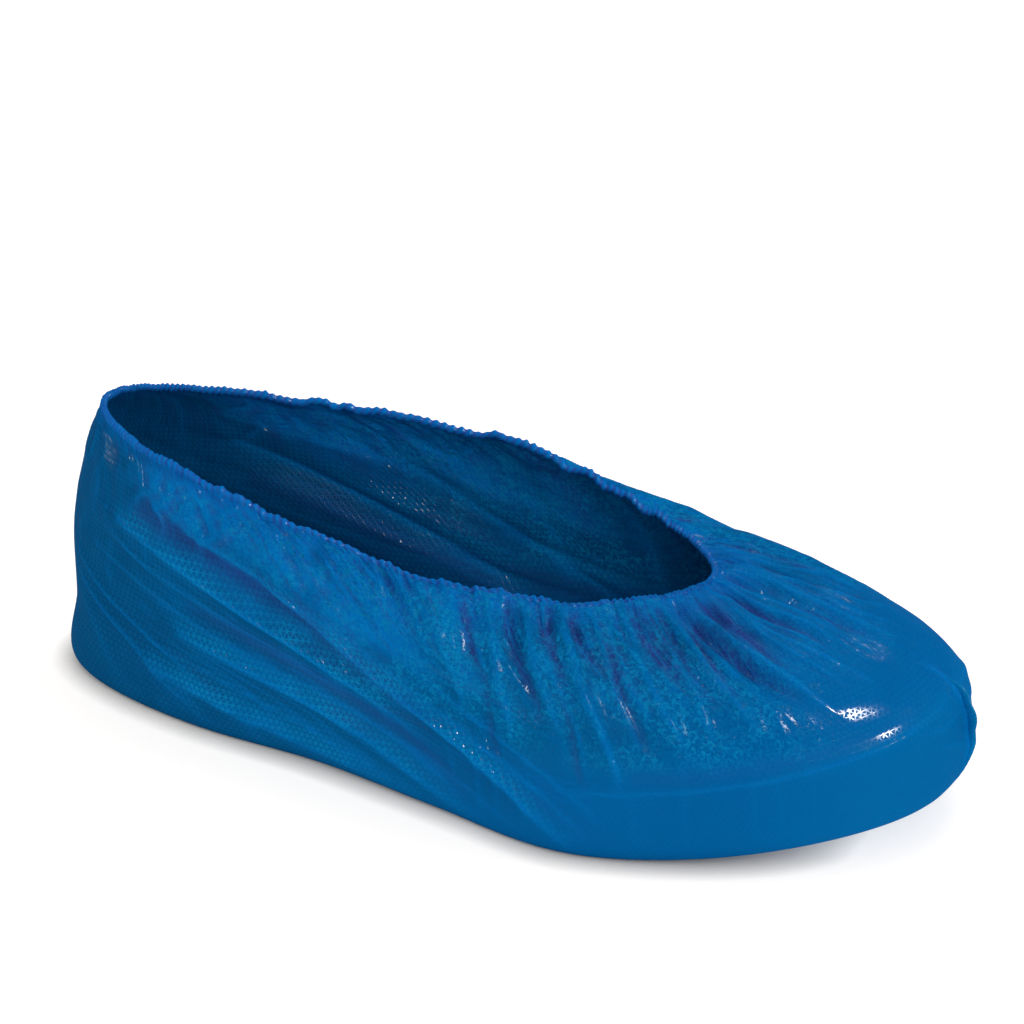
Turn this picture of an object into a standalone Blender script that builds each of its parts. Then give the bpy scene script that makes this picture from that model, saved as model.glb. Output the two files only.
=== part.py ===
"""Shoe cover of thin polyethylene film, in the form it takes on a shoe.

Three pieces: the film bag, the elastic roll round its ankle opening and the weld at its toe.
Metres. +X points to the toe, -Y to the outer side of the foot, +Z up. The origin is the seat of
the foot: the top face of the sole film, at the middle of the length.
"""
import math
from collections import namedtuple

import bmesh
import bpy
import numpy as np

# Driving sizes
COVER_LENGTH = 0.2870  # film from heel to toe, without the weld
BALL_WIDTH = 0.1130  # film across the ball of the foot
HEM_HEIGHT = 0.0880  # hem at the heel, over the underside
TOE_SPRING = 0.0120  # lift of the underside at the toe
TOE_TURN = 0.0120  # shift of the toe to the inner side of the foot
FAR_LIFT = 0.0070  # how much higher the inner side of the hem runs
FILM_WALL = 0.0012
PIECE_GAP = 0.0003
EDGE_GAPS = 2.0  # gaps between the film's top edge and the roll, because the wall leans to it
ROLL_RADIUS = 0.0016  # elastic hem
ROLL_BUNCHING_SHARE = 0.12  # share by which its radius swells and shrinks
FOLD_DEPTH = 0.0048  # height of a full fold
FOLD_WIDTH = 0.0115  # half the width of a full fold
GATHER_DEPTH = 0.0018  # ripple of the film just under the hem
GATHER_COUNT = 32
GATHER_REACH_SHARE = 0.16  # share of the way to the underside at which the ripple has faded
HEM_HOLD_SHARE = 0.045  # share of the way down over which the hem holds the film smooth
WELD_DEPTH = 0.0045  # how far the toe weld stands off the film
WELD_WALL = 0.0012
WELD_WAVE = 0.0012

# Mesh steps
AROUND = 128
RINGS_DOWN = (
    0.0, 0.030, 0.065, 0.105, 0.150, 0.195, 0.245, 0.30, 0.36, 0.43,
    0.50, 0.58, 0.66, 0.74, 0.81, 0.86, 0.90, 0.93, 1.0,
)
ROLL_SIDES_LEVEL = 1
WELD_STEPS = 16
WELD_STEPS_OUT = 3
PATH_STEPS = 24

# Sections of the film from the hem down to the sole. A section is a rounded oval, and a point on
# it is found by its place between its own heel (0) and toe (1).
# heel, toe: shares of COVER_LENGTH. round: power of the oval. outer, inner: half widths at the
# stations, shares of BALL_WIDTH. height: at the stations, shares of HEM_HEIGHT. lift: share of
# FAR_LIFT. spring: share of the toe spring.
STATIONS = (0.0, 0.2, 0.35, 0.5, 0.65, 0.8, 1.0)
Section = namedtuple("Section", "name down heel toe turn round outer inner height lift spring")
SECTIONS = (
    Section(
        "hem", 0.00, 0.038, 0.725, 0.83, 2.1,
        (0.27, 0.29, 0.31, 0.33, 0.34, 0.33, 0.29),
        (0.27, 0.29, 0.31, 0.34, 0.35, 0.345, 0.30),
        (1.00, 0.94, 0.90, 0.84, 0.785, 0.735, 0.73), 1.0, 0.0,
    ),
    Section(
        "upper", 0.20, 0.020, 0.850, 0.92, 2.3,
        (0.32, 0.345, 0.37, 0.415, 0.47, 0.46, 0.39),
        (0.32, 0.345, 0.37, 0.41, 0.435, 0.44, 0.38),
        (0.865, 0.795, 0.75, 0.695, 0.66, 0.65, 0.66), 0.7, 0.25,
    ),
    Section(
        "cap", 0.45, 0.003, 0.962, 1.0, 2.5,
        (0.33, 0.355, 0.38, 0.44, 0.52, 0.53, 0.45),
        (0.33, 0.355, 0.37, 0.41, 0.46, 0.48, 0.46),
        (0.57, 0.53, 0.50, 0.48, 0.48, 0.49, 0.51), 0.35, 0.45,
    ),
    Section(
        "rand", 0.72, 0.002, 1.0, 1.0, 2.6,
        (0.335, 0.355, 0.365, 0.44, 0.54, 0.54, 0.46),
        (0.335, 0.355, 0.355, 0.40, 0.46, 0.48, 0.46),
        (0.27, 0.26, 0.25, 0.25, 0.25, 0.255, 0.27), 0.0, 0.7,
    ),
    Section(
        "floor", 0.90, 0.002, 0.988, 1.0, 2.7,
        (0.31, 0.335, 0.33, 0.415, 0.52, 0.515, 0.41),
        (0.31, 0.335, 0.33, 0.37, 0.435, 0.445, 0.41),
        (0.0, 0.0, 0.0, 0.0, 0.0, 0.0, 0.0), 0.0, 1.0,
    ),
    Section(
        "sole", 1.00, 0.070, 0.915, 1.0, 2.4,
        (0.20, 0.23, 0.23, 0.29, 0.38, 0.37, 0.28),
        (0.20, 0.23, 0.23, 0.26, 0.31, 0.32, 0.28),
        (0.0, 0.0, 0.0, 0.0, 0.0, 0.0, 0.0), 0.0, 1.0,
    ),
)
UNDERSIDE_SHARE = 0.90  # the floor section's place: no fold reaches lower
FLOOR_HOLD_SHARE = 0.12  # share of the way down over which folds fade above the underside
SPRING_START_SHARE = 0.66  # shares of COVER_LENGTH between which the underside lifts
SPRING_END_SHARE = 0.99

# Folds of the film, each a bent line from its start over its middle to its end.
# around: 0 at the heel, 0.25 on the outer side, 0.5 at the toe, 0.75 on the inner side.
# down: 0 at the hem, 0.9 at the underside. width: share of FOLD_WIDTH. rise: share of
# FOLD_DEPTH, below zero for a valley.
Fold = namedtuple("Fold", "name around1 down1 around2 down2 around3 down3 width rise")
FOLDS = (
    Fold("heel drag, top", 0.105, 0.31, 0.184, 0.43, 0.240, 0.66, 0.75, 0.90),
    Fold("valley over it", 0.120, 0.26, 0.202, 0.37, 0.250, 0.60, 0.70, -0.75),
    Fold("lapped film edge", 0.150, 0.22, 0.190, 0.28, 0.225, 0.38, 0.60, 0.60),
    Fold("heel drag, middle", 0.120, 0.59, 0.200, 0.70, 0.270, 0.87, 0.65, 0.65),
    Fold("valley under the top drag", 0.150, 0.50, 0.205, 0.60, 0.262, 0.80, 0.60, -0.50),
    Fold("waist drag", 0.200, 0.30, 0.246, 0.54, 0.298, 0.83, 0.80, 0.80),
    Fold("heel drag, low", 0.120, 0.76, 0.190, 0.82, 0.240, 0.88, 0.50, 0.40),
    Fold("waist gather", 0.270, 0.03, 0.262, 0.30, 0.275, 0.60, 0.70, 0.45),
    Fold("outer gather 1", 0.302, 0.05, 0.290, 0.27, 0.296, 0.60, 0.55, -0.60),
    Fold("outer gather 2", 0.318, 0.04, 0.304, 0.30, 0.306, 0.62, 0.60, 0.60),
    Fold("outer gather 3", 0.332, 0.03, 0.312, 0.30, 0.312, 0.66, 0.50, -0.60),
    Fold("outer gather 4", 0.361, 0.01, 0.334, 0.32, 0.328, 0.72, 0.65, 0.80),
    Fold("outer gather 5", 0.376, 0.02, 0.352, 0.28, 0.345, 0.56, 0.50, -0.65),
    Fold("outer gather 6", 0.398, 0.03, 0.371, 0.22, 0.356, 0.50, 0.60, 0.55),
    Fold("outer pleat 1", 0.418, 0.03, 0.392, 0.22, 0.380, 0.42, 0.50, -0.55),
    Fold("outer pleat 2", 0.447, 0.03, 0.418, 0.16, 0.398, 0.30, 0.60, -0.65),
    Fold("outer pleat 3", 0.456, 0.04, 0.430, 0.18, 0.412, 0.34, 0.50, 0.50),
    Fold("outer pleat 4", 0.471, 0.03, 0.448, 0.15, 0.432, 0.34, 0.55, -0.65),
    Fold("toe ray 1", 0.483, 0.03, 0.458, 0.18, 0.444, 0.42, 0.50, 0.55),
    Fold("toe ray 2", 0.500, 0.02, 0.480, 0.18, 0.470, 0.36, 0.45, -0.30),
    Fold("toe ray 3", 0.516, 0.02, 0.500, 0.18, 0.490, 0.38, 0.50, 0.35),
    Fold("toe ray 4", 0.540, 0.02, 0.526, 0.16, 0.518, 0.32, 0.45, -0.30),
    Fold("toe ray 5", 0.560, 0.02, 0.552, 0.18, 0.548, 0.34, 0.50, 0.30),
    Fold("inner pleat 1", 0.581, 0.02, 0.588, 0.12, 0.592, 0.30, 0.50, -0.35),
    Fold("inner pleat 2", 0.604, 0.03, 0.612, 0.18, 0.622, 0.40, 0.55, 0.30),
    Fold("inner gather 1", 0.630, 0.02, 0.640, 0.20, 0.652, 0.44, 0.50, -0.60),
    Fold("inner gather 2", 0.655, 0.02, 0.668, 0.24, 0.680, 0.56, 0.60, 0.35),
    Fold("inner gather 3", 0.680, 0.02, 0.692, 0.24, 0.700, 0.52, 0.50, -0.55),
    Fold("inner gather 4", 0.704, 0.02, 0.712, 0.26, 0.716, 0.60, 0.60, 0.60),
    Fold("inner gather 5", 0.728, 0.02, 0.732, 0.24, 0.736, 0.50, 0.55, -0.50),
    Fold("inner waist gather", 0.752, 0.02, 0.752, 0.28, 0.748, 0.62, 0.65, 0.55),
    Fold("inner waist drag", 0.800, 0.26, 0.762, 0.50, 0.716, 0.80, 0.80, 0.70),
    Fold("inner heel drag, top", 0.880, 0.30, 0.816, 0.46, 0.766, 0.70, 0.75, 0.75),
    Fold("inner heel valley", 0.870, 0.42, 0.806, 0.58, 0.758, 0.78, 0.60, -0.50),
    Fold("inner heel drag, low", 0.880, 0.60, 0.810, 0.72, 0.750, 0.86, 0.60, 0.50),
)

# Toe weld: from and to, as places down the film
WELD_TOP_SHARE = 0.47
WELD_FOOT_SHARE = 0.86

# Materials: sRGB hex
FILM_BLUE = "045A96"
HEM_BLUE = "03508C"
WELD_BLUE = "0462A0"


def smooth_curve(knots, values, places):
    """A cubic through values (first axis) at the knots, with the mean slope at each inner knot."""
    knots = np.asarray(knots, float)
    values = np.asarray(values, float)
    tail = (1,) * (values.ndim - 1)
    rise = np.diff(values, axis=0) / np.diff(knots).reshape((-1,) + tail)
    slope = np.concatenate([rise[:1], (rise[1:] + rise[:-1]) / 2, rise[-1:]])
    low = np.clip(np.searchsorted(knots, places, side="right") - 1, 0, len(knots) - 2)
    return low, (places - knots[low]) / (knots[low + 1] - knots[low]), slope


def mix_cubic(share, width, start, end, slope_start, slope_end):
    """The cubic that leaves start and reaches end with the slopes given."""
    square = share * share
    cube = square * share
    return (
        (2 * cube - 3 * square + 1) * start
        + (cube - 2 * square + share) * width * slope_start
        + (3 * square - 2 * cube) * end
        + (cube - square) * width * slope_end
    )


def station_value(row, places):
    """A row of values at the stations, read at the places between heel and toe."""
    knots = np.asarray(STATIONS)
    row = np.asarray(row)
    low, share, slope = smooth_curve(knots, row, places)
    return mix_cubic(share, (knots[1:] - knots[:-1])[low], row[low], row[low + 1],
                     slope[low], slope[low + 1])


def underside_height(x_share):
    """How far the underside is lifted at a share of the length."""
    reach = np.clip((x_share - SPRING_START_SHARE) / (SPRING_END_SHARE - SPRING_START_SHARE), 0.0, 1.1)
    return TOE_SPRING * reach**2


def section_points(section, around):
    """Points of one section: x along its length, y by its half widths, z by its heights."""
    angle = 2 * math.pi * around
    place = (1 - np.cos(angle)) / 2
    oval = (1 - np.abs(np.cos(angle)) ** section.round) ** (1 / section.round)
    inner_side = around > 0.5
    half = np.where(
        inner_side, station_value(section.inner, place), -station_value(section.outer, place)
    )
    x_share = section.heel + (section.toe - section.heel) * place
    lift = section.lift * FAR_LIFT * 6.75 * place**2 * (1 - place) * oval * inner_side
    x = (x_share - 0.5) * COVER_LENGTH
    y = section.turn * TOE_TURN * place**2 + half * BALL_WIDTH * oval
    z = station_value(section.height, place) * HEM_HEIGHT + lift
    z = z + section.spring * underside_height(x_share) - FILM_WALL
    return np.stack([x, y, z], axis=-1)


def base_film(around, down):
    """The film's outer face without folds. around is a row, down a grid with a row for each."""
    sections = np.stack([section_points(section, around) for section in SECTIONS])
    knots = np.array([section.down for section in SECTIONS])
    low, share, slope = smooth_curve(knots, sections, down)
    column = np.arange(len(around))[:, None]
    width = (knots[1:] - knots[:-1])[low][..., None]
    points = mix_cubic(share[..., None], width, sections[low, column], sections[low + 1, column],
                       slope[low, column], slope[low + 1, column])
    floor = underside_height(points[..., 0] / COVER_LENGTH + 0.5) - FILM_WALL
    points[..., 2] = np.maximum(points[..., 2], floor)
    return points


def outward(points):
    """Unit normals of a closed ring grid, pointing out of the film."""
    along = np.roll(points, -1, axis=0) - np.roll(points, 1, axis=0)
    down = np.gradient(points, axis=1)
    normal = np.cross(down, along)
    return normal / np.maximum(np.linalg.norm(normal, axis=-1, keepdims=True), 1e-12)


def fold_path(fold):
    """Points in space of a fold's bent line, and how full the fold is at each."""
    step = np.linspace(0.0, 1.0, PATH_STEPS)
    ends = (1 - step) ** 2, 2 * step * (1 - step), step**2
    bend_around = 2 * fold.around2 - (fold.around1 + fold.around3) / 2
    bend_down = 2 * fold.down2 - (fold.down1 + fold.down3) / 2
    around = ends[0] * fold.around1 + ends[1] * bend_around + ends[2] * fold.around3
    down = ends[0] * fold.down1 + ends[1] * bend_down + ends[2] * fold.down3
    points = base_film(around, down[:, None])[:, 0]
    return points, np.sin(math.pi * np.clip(step * 0.86 + 0.10, 0.0, 1.0)) ** 0.7


def fold_rise(points, down):
    """Height of the folds at the film's points: each a round swell that fades off its line."""
    rise = np.zeros(points.shape[:2])
    for fold in FOLDS:
        path, fullness = fold_path(fold)
        apart = np.linalg.norm(points[:, :, None] - path, axis=-1)
        nearest = apart.argmin(axis=-1)
        swell = np.exp(-((apart.min(axis=-1) / (fold.width * FOLD_WIDTH)) ** 2))
        rise += fold.rise * FOLD_DEPTH * fullness[nearest] * swell
    return rise * np.clip((UNDERSIDE_SHARE - down) / FLOOR_HOLD_SHARE, 0.0, 1.0)


def gather_rise(around, down):
    """The even ripple under the hem, which fades on the way down."""
    ripple = np.cos(2 * math.pi * GATHER_COUNT * around)[:, None]
    return GATHER_DEPTH * ripple * np.exp(-((down / GATHER_REACH_SHARE) ** 2))


def film_grid():
    """The film's outer face with its folds, from just under the elastic roll to the sole."""
    around = np.arange(AROUND) / AROUND
    first = np.stack([np.zeros(AROUND), np.full(AROUND, 0.01)], axis=1)
    top = base_film(around, first)
    hem_run = np.roll(top[:, 0], -1, axis=0) - np.roll(top[:, 0], 1, axis=0)
    hem_run /= np.linalg.norm(hem_run, axis=-1, keepdims=True)
    drop = (top[:, 1] - top[:, 0]) / first[0, 1]
    drop -= hem_run * (drop * hem_run).sum(axis=-1, keepdims=True)
    clear = ROLL_RADIUS * (1 + ROLL_BUNCHING_SHARE) + EDGE_GAPS * PIECE_GAP
    start = (clear / np.linalg.norm(drop, axis=-1))[:, None]
    down = start + (1 - start) * np.asarray(RINGS_DOWN)
    points = base_film(around, down)
    held = np.clip((down - start) / HEM_HOLD_SHARE, 0.0, 1.0)
    rise = held * (fold_rise(points, down) + gather_rise(around, down))
    return points + outward(points) * rise[..., None]


def new_mesh_object(name, vertices, faces, hex_colour, roughness):
    """A smooth-shaded mesh object with its own plastic material."""
    mesh = bpy.data.meshes.new(name)
    mesh.from_pydata(vertices.tolist(), [], faces)
    mesh.validate()
    mesh.shade_smooth()
    piece = bpy.data.objects.new(name, mesh)
    bpy.data.collections["shoe_cover"].objects.link(piece)
    give_material(piece, hex_colour, roughness)
    return piece


def give_material(piece, hex_colour, roughness):
    """Polyethylene of one colour, for the piece alone."""
    material = bpy.data.materials.new(piece.name + "_polyethylene")
    material.use_nodes = True
    shader = material.node_tree.nodes["Principled BSDF"]
    channels = [int(hex_colour[i : i + 2], 16) / 255 for i in (0, 2, 4)]
    linear = [c / 12.92 if c <= 0.04045 else ((c + 0.055) / 1.055) ** 2.4 for c in channels]
    shader.inputs["Base Color"].default_value = (*linear, 1.0)
    shader.inputs["Roughness"].default_value = roughness
    shader.inputs["Metallic"].default_value = 0.0
    piece.data.materials.append(material)


def thicken(piece, wall, offset):
    """A wall on an open surface: offset -1 grows it inwards, 0 to both sides."""
    solidify = piece.modifiers.new("wall", "SOLIDIFY")
    solidify.thickness = wall
    solidify.offset = offset
    solidify.use_even_offset = False


def build_film_cover():
    """The bag: rings from hem to sole, whose last ring is closed across the foot."""
    points = film_grid()
    rings = points.shape[1]
    vertices = points.reshape(-1, 3)
    faces = []
    for a in range(AROUND):
        b = (a + 1) % AROUND
        for ring in range(rings - 1):
            faces.append((a * rings + ring, a * rings + ring + 1, b * rings + ring + 1, b * rings + ring))
    last = rings - 1
    for a in range(AROUND // 2):
        corners = [a, a + 1, AROUND - a - 1, (AROUND - a) % AROUND]
        corners = [c for i, c in enumerate(corners) if c not in corners[:i]]
        faces.append(tuple(c * rings + last for c in reversed(corners)))
    piece = new_mesh_object("film_cover", vertices, faces, FILM_BLUE, 0.38)
    face_outwards(piece)
    thicken(piece, FILM_WALL, -1.0)
    return piece


def face_outwards(piece):
    """Turns the faces of an open bag so that they point away from its middle."""
    mesh = bmesh.new()
    mesh.from_mesh(piece.data)
    bmesh.ops.recalc_face_normals(mesh, faces=mesh.faces)
    lowest = min(mesh.faces, key=lambda face: face.calc_center_median().z)
    if lowest.normal.z > 0:
        bmesh.ops.reverse_faces(mesh, faces=mesh.faces)
    mesh.to_mesh(piece.data)
    mesh.free()


def build_elastic_hem():
    """The gathered roll with the elastic in it: a closed tube along the hem, bunched evenly."""
    around = np.arange(AROUND) / AROUND
    path = base_film(around, np.zeros((AROUND, 1)))[:, 0]
    curve = bpy.data.curves.new("elastic_hem", "CURVE")
    curve.dimensions = "3D"
    curve.bevel_depth = ROLL_RADIUS
    curve.bevel_resolution = ROLL_SIDES_LEVEL
    spline = curve.splines.new("POLY")
    spline.points.add(AROUND - 1)
    spline.use_cyclic_u = True
    for index, place in enumerate(path):
        spline.points[index].co = (*place, 1.0)
        spline.points[index].radius = 1 + ROLL_BUNCHING_SHARE * math.cos(math.pi * index)
    piece = bpy.data.objects.new("elastic_hem", curve)
    bpy.data.collections["shoe_cover"].objects.link(piece)
    give_material(piece, HEM_BLUE, 0.45)
    return piece


def build_toe_weld():
    """The weld: a thin wavy fin that stands off the film down the toe."""
    step = np.linspace(0.0, 1.0, WELD_STEPS + 1)
    down = WELD_TOP_SHARE + (WELD_FOOT_SHARE - WELD_TOP_SHARE) * step
    around = np.array([0.497, 0.5, 0.503])
    film = base_film(around, np.tile(down, (3, 1)))
    normal = np.cross(np.gradient(film[1], axis=0), film[2] - film[0])
    normal /= np.linalg.norm(normal, axis=-1, keepdims=True)
    if normal[:, 0].mean() < 0:
        normal = -normal
    depth = WELD_DEPTH * (0.25 + 0.75 * np.sin(math.pi * step) ** 0.6)
    out = np.linspace(0.0, 1.0, WELD_STEPS_OUT + 1)
    foot = film[1] + normal * PIECE_GAP * 2
    points = foot[:, None] + normal[:, None] * (depth[:, None] * out)[..., None]
    points[..., 1] += WELD_WAVE * np.sin(3.0 * math.pi * step)[:, None] * out
    faces = []
    across = WELD_STEPS_OUT + 1
    for i in range(WELD_STEPS):
        for j in range(WELD_STEPS_OUT):
            corner = i * across + j
            faces.append((corner, corner + 1, corner + across + 1, corner + across))
    piece = new_mesh_object("toe_weld", points.reshape(-1, 3), faces, WELD_BLUE, 0.35)
    thicken(piece, WELD_WALL, 0.0)
    return piece


def main():
    for thing in list(bpy.data.objects):
        bpy.data.objects.remove(thing, do_unlink=True)
    collection = bpy.data.collections.new("shoe_cover")
    bpy.context.scene.collection.children.link(collection)
    build_film_cover()
    build_elastic_hem()
    build_toe_weld()


main()
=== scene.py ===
"""Disposable shoe cover of embossed polyethylene film, dressed over its solids.

The film bag is worked out again as one fine sheet, with the drags, gathers and creases of thin
film. The elastic hem becomes a bunched roll, and the weld at the toe a crimped fin.
Metres. +X points to the toe, -Y to the outer side, +Z up.
"""

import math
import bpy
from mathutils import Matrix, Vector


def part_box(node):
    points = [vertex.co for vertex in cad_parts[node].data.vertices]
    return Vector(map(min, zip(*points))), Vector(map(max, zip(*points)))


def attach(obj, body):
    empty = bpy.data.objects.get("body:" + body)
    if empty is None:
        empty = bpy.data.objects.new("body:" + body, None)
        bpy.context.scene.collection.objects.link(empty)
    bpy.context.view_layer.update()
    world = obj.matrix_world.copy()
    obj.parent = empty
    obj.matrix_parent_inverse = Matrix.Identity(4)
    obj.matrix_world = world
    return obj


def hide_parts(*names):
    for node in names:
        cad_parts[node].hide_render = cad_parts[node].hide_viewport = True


bl_info = {
    "name": "Shoe Cover",
    "version": (1, 0, 0),
    "blender": (4, 5, 0),
    "location": "View3D > Sidebar > Shoe Cover",
    "description": "Builds a worn shoe cover of thin blue film",
    "category": "Object",
}

from collections import namedtuple
from functools import partial

import bpy
import numpy as np
from bpy.props import FloatProperty, FloatVectorProperty, IntProperty, PointerProperty
from mathutils import Matrix, Vector

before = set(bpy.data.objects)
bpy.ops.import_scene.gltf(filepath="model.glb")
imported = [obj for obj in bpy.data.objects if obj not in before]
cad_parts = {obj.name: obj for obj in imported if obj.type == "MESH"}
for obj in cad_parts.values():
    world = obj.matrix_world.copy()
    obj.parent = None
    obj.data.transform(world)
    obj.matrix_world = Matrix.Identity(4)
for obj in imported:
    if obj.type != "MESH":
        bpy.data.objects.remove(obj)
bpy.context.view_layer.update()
FILM_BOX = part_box("film_cover")


# Sizes and colours that a user would change


def linear(hex_colour):
    """An sRGB hex colour as linear red, green and blue."""
    channels = [int(hex_colour[i : i + 2], 16) / 255 for i in (0, 2, 4)]
    return tuple(c / 12.92 if c <= 0.04045 else ((c + 0.055) / 1.055) ** 2.4 for c in channels)


def length_property(name, description, default):
    """A size in metres."""
    return FloatProperty(
        name=name, description=description, default=default, min=0.0, unit="LENGTH", precision=4
    )


def colour_property(name, description, hex_colour):
    """A colour, given as sRGB hex and kept as linear values."""
    return FloatVectorProperty(
        name=name, description=description, default=linear(hex_colour), subtype="COLOR",
        min=0.0, max=1.0,
    )


class ShoeCoverSizes(bpy.types.PropertyGroup):
    """Sizes of the worn cover."""

    cover_length: length_property("Length", "Film from heel to toe, without the weld", 0.2870)
    ball_width: length_property("Ball width", "Film across its widest place", 0.1130)
    hem_height: length_property("Hem height", "Hem at the heel, over the underside", 0.0880)
    toe_spring: length_property("Toe spring", "Lift of the underside at the toe", 0.0120)
    toe_turn: length_property("Toe turn", "Shift of the toe to the inner side", 0.0120)
    far_lift: length_property("Far lift", "How much higher the inner side of the hem runs", 0.0070)
    underside: length_property("Underside", "Underside of the film below the seat", -FILM_BOX[0][2])
    fold_depth: length_property("Fold depth", "Height of a full fold", 0.0048)
    fold_width: length_property("Fold width", "Half the width of a full fold", 0.0115)
    crest_radius: length_property("Crest radius", "How round the crest of a film fold is", 0.0004)
    gather_depth: length_property("Gather depth", "Height of the gathers under the hem", 0.0015)
    roll_radius: length_property("Roll radius", "Bunched film round the elastic", 0.0015)
    weld_depth: length_property("Weld depth", "How far the toe weld stands off the film", 0.0050)
    emboss_pitch: length_property("Emboss pitch", "From star to star of the embossing", 0.00205)
    columns: IntProperty(name="Columns", description="Steps round the film", default=756, min=64)
    seed: IntProperty(name="Seed", description="Seed of the gathers", default=7)


class ShoeCoverColours(bpy.types.PropertyGroup):
    """Colours of the film where it lies in different ways, some of them painted highlight, sheen
    and shade.
    """

    # Darker heel: partly film drawn tight over the dark inside, partly painted shade of the side
    # turned from the light. Also the painted shade on the gentle lower flanks of the drags.
    heel: colour_property("Heel", "Film drawn smooth over the heel", "014979")
    side: colour_property("Side", "Film on the outer and the inner side", "02588F")
    toe: colour_property("Toe", "Film drawn over the toe", "005C9D")
    band: colour_property("Lower band", "Film that stands round the sole", "005A97")
    gather: colour_property("Gather", "Film in several layers near the hem", "026ABE")
    loose: colour_property("Loose layers", "Film that stands off in loose layers", "0479CC")
    # Painted highlight on the lit upper flanks of the drags and on the toe's flank.
    lit: colour_property("Upper flank", "Film on the upper flank of a drag", "016AA8")
    # Painted highlight on crests of folds and creases and on the hem's ribs, partly film lifted in
    # layers.
    crest: colour_property("Crest", "Crest of a fold", "026CB8")
    # Painted sheen on crushed facets, embossed lines and crumpled layers, and painted light at the
    # weld's edge.
    lit_fleck: colour_property("Fleck", "Facets of crushed film", "0A80B8")
    # Painted shade in the valleys of folds and creases and between the hem's ribs, partly film
    # lying on the dark inside.
    valley: colour_property("Valley", "Depth of a fold", "2E2C80")
    # The floor's glowing is painted light, darkened to a painted shadow near the film.
    floor: colour_property("Floor", "Plain pale floor, which also glows", "C6C1BA")


# Form of the film

# Sections of the film from the hem down to the sole. heel, toe: shares of the length. round:
# power of the oval. outer, inner: half widths at the stations, shares of the ball width.
# height: at the stations, shares of the hem height. lift: share of the far lift. spring: share
# of the toe spring.
STATIONS = (0.0, 0.2, 0.35, 0.5, 0.65, 0.8, 1.0)
Section = namedtuple("Section", "name down heel toe turn round outer inner height lift spring")
SECTIONS = (
    Section(
        "hem", 0.00, 0.038, 0.725, 0.83, 2.1,
        (0.27, 0.29, 0.31, 0.33, 0.34, 0.33, 0.29),
        (0.27, 0.29, 0.31, 0.34, 0.35, 0.345, 0.30),
        (1.00, 0.94, 0.90, 0.84, 0.785, 0.735, 0.73), 1.0, 0.0,
    ),
    Section(
        "upper", 0.20, 0.020, 0.850, 0.92, 2.3,
        (0.32, 0.345, 0.37, 0.415, 0.47, 0.46, 0.39),
        (0.32, 0.345, 0.37, 0.41, 0.43, 0.445, 0.39),
        (0.865, 0.795, 0.75, 0.695, 0.66, 0.65, 0.66), 0.7, 0.25,
    ),
    Section(
        "cap", 0.45, 0.003, 0.962, 1.0, 2.5,
        (0.33, 0.355, 0.38, 0.44, 0.52, 0.53, 0.45),
        (0.33, 0.355, 0.37, 0.41, 0.455, 0.52, 0.47),
        (0.57, 0.53, 0.50, 0.48, 0.48, 0.49, 0.51), 0.35, 0.45,
    ),
    Section(
        "rand", 0.72, 0.002, 1.0, 1.0, 2.6,
        (0.335, 0.355, 0.375, 0.445, 0.54, 0.522, 0.445),
        (0.335, 0.355, 0.355, 0.40, 0.46, 0.48, 0.46),
        (0.27, 0.26, 0.25, 0.25, 0.25, 0.255, 0.27), 0.0, 0.7,
    ),
    Section(
        "floor", 0.90, 0.002, 0.988, 1.0, 2.7,
        (0.31, 0.34, 0.345, 0.425, 0.52, 0.492, 0.388),
        (0.31, 0.335, 0.33, 0.37, 0.435, 0.445, 0.41),
        (0.0, 0.0, 0.0, 0.0, 0.0, 0.0, 0.0), 0.0, 1.0,
    ),
    Section(
        "sole", 1.00, 0.070, 0.915, 1.0, 2.4,
        (0.20, 0.23, 0.23, 0.29, 0.38, 0.37, 0.28),
        (0.20, 0.23, 0.23, 0.26, 0.31, 0.32, 0.28),
        (0.0, 0.0, 0.0, 0.0, 0.0, 0.0, 0.0), 0.0, 1.0,
    ),
)
# Makes the swell of the lift, a square times what is left of the length, reach 1
LIFT_SCALE = 27 / 4
UNDERSIDE_SHARE = 0.90
FLOOR_HOLD_SHARE = 0.12
SPRING_START_SHARE = 0.66
SPRING_END_SHARE = 0.99
SPRING_MOST = 1.1

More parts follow.
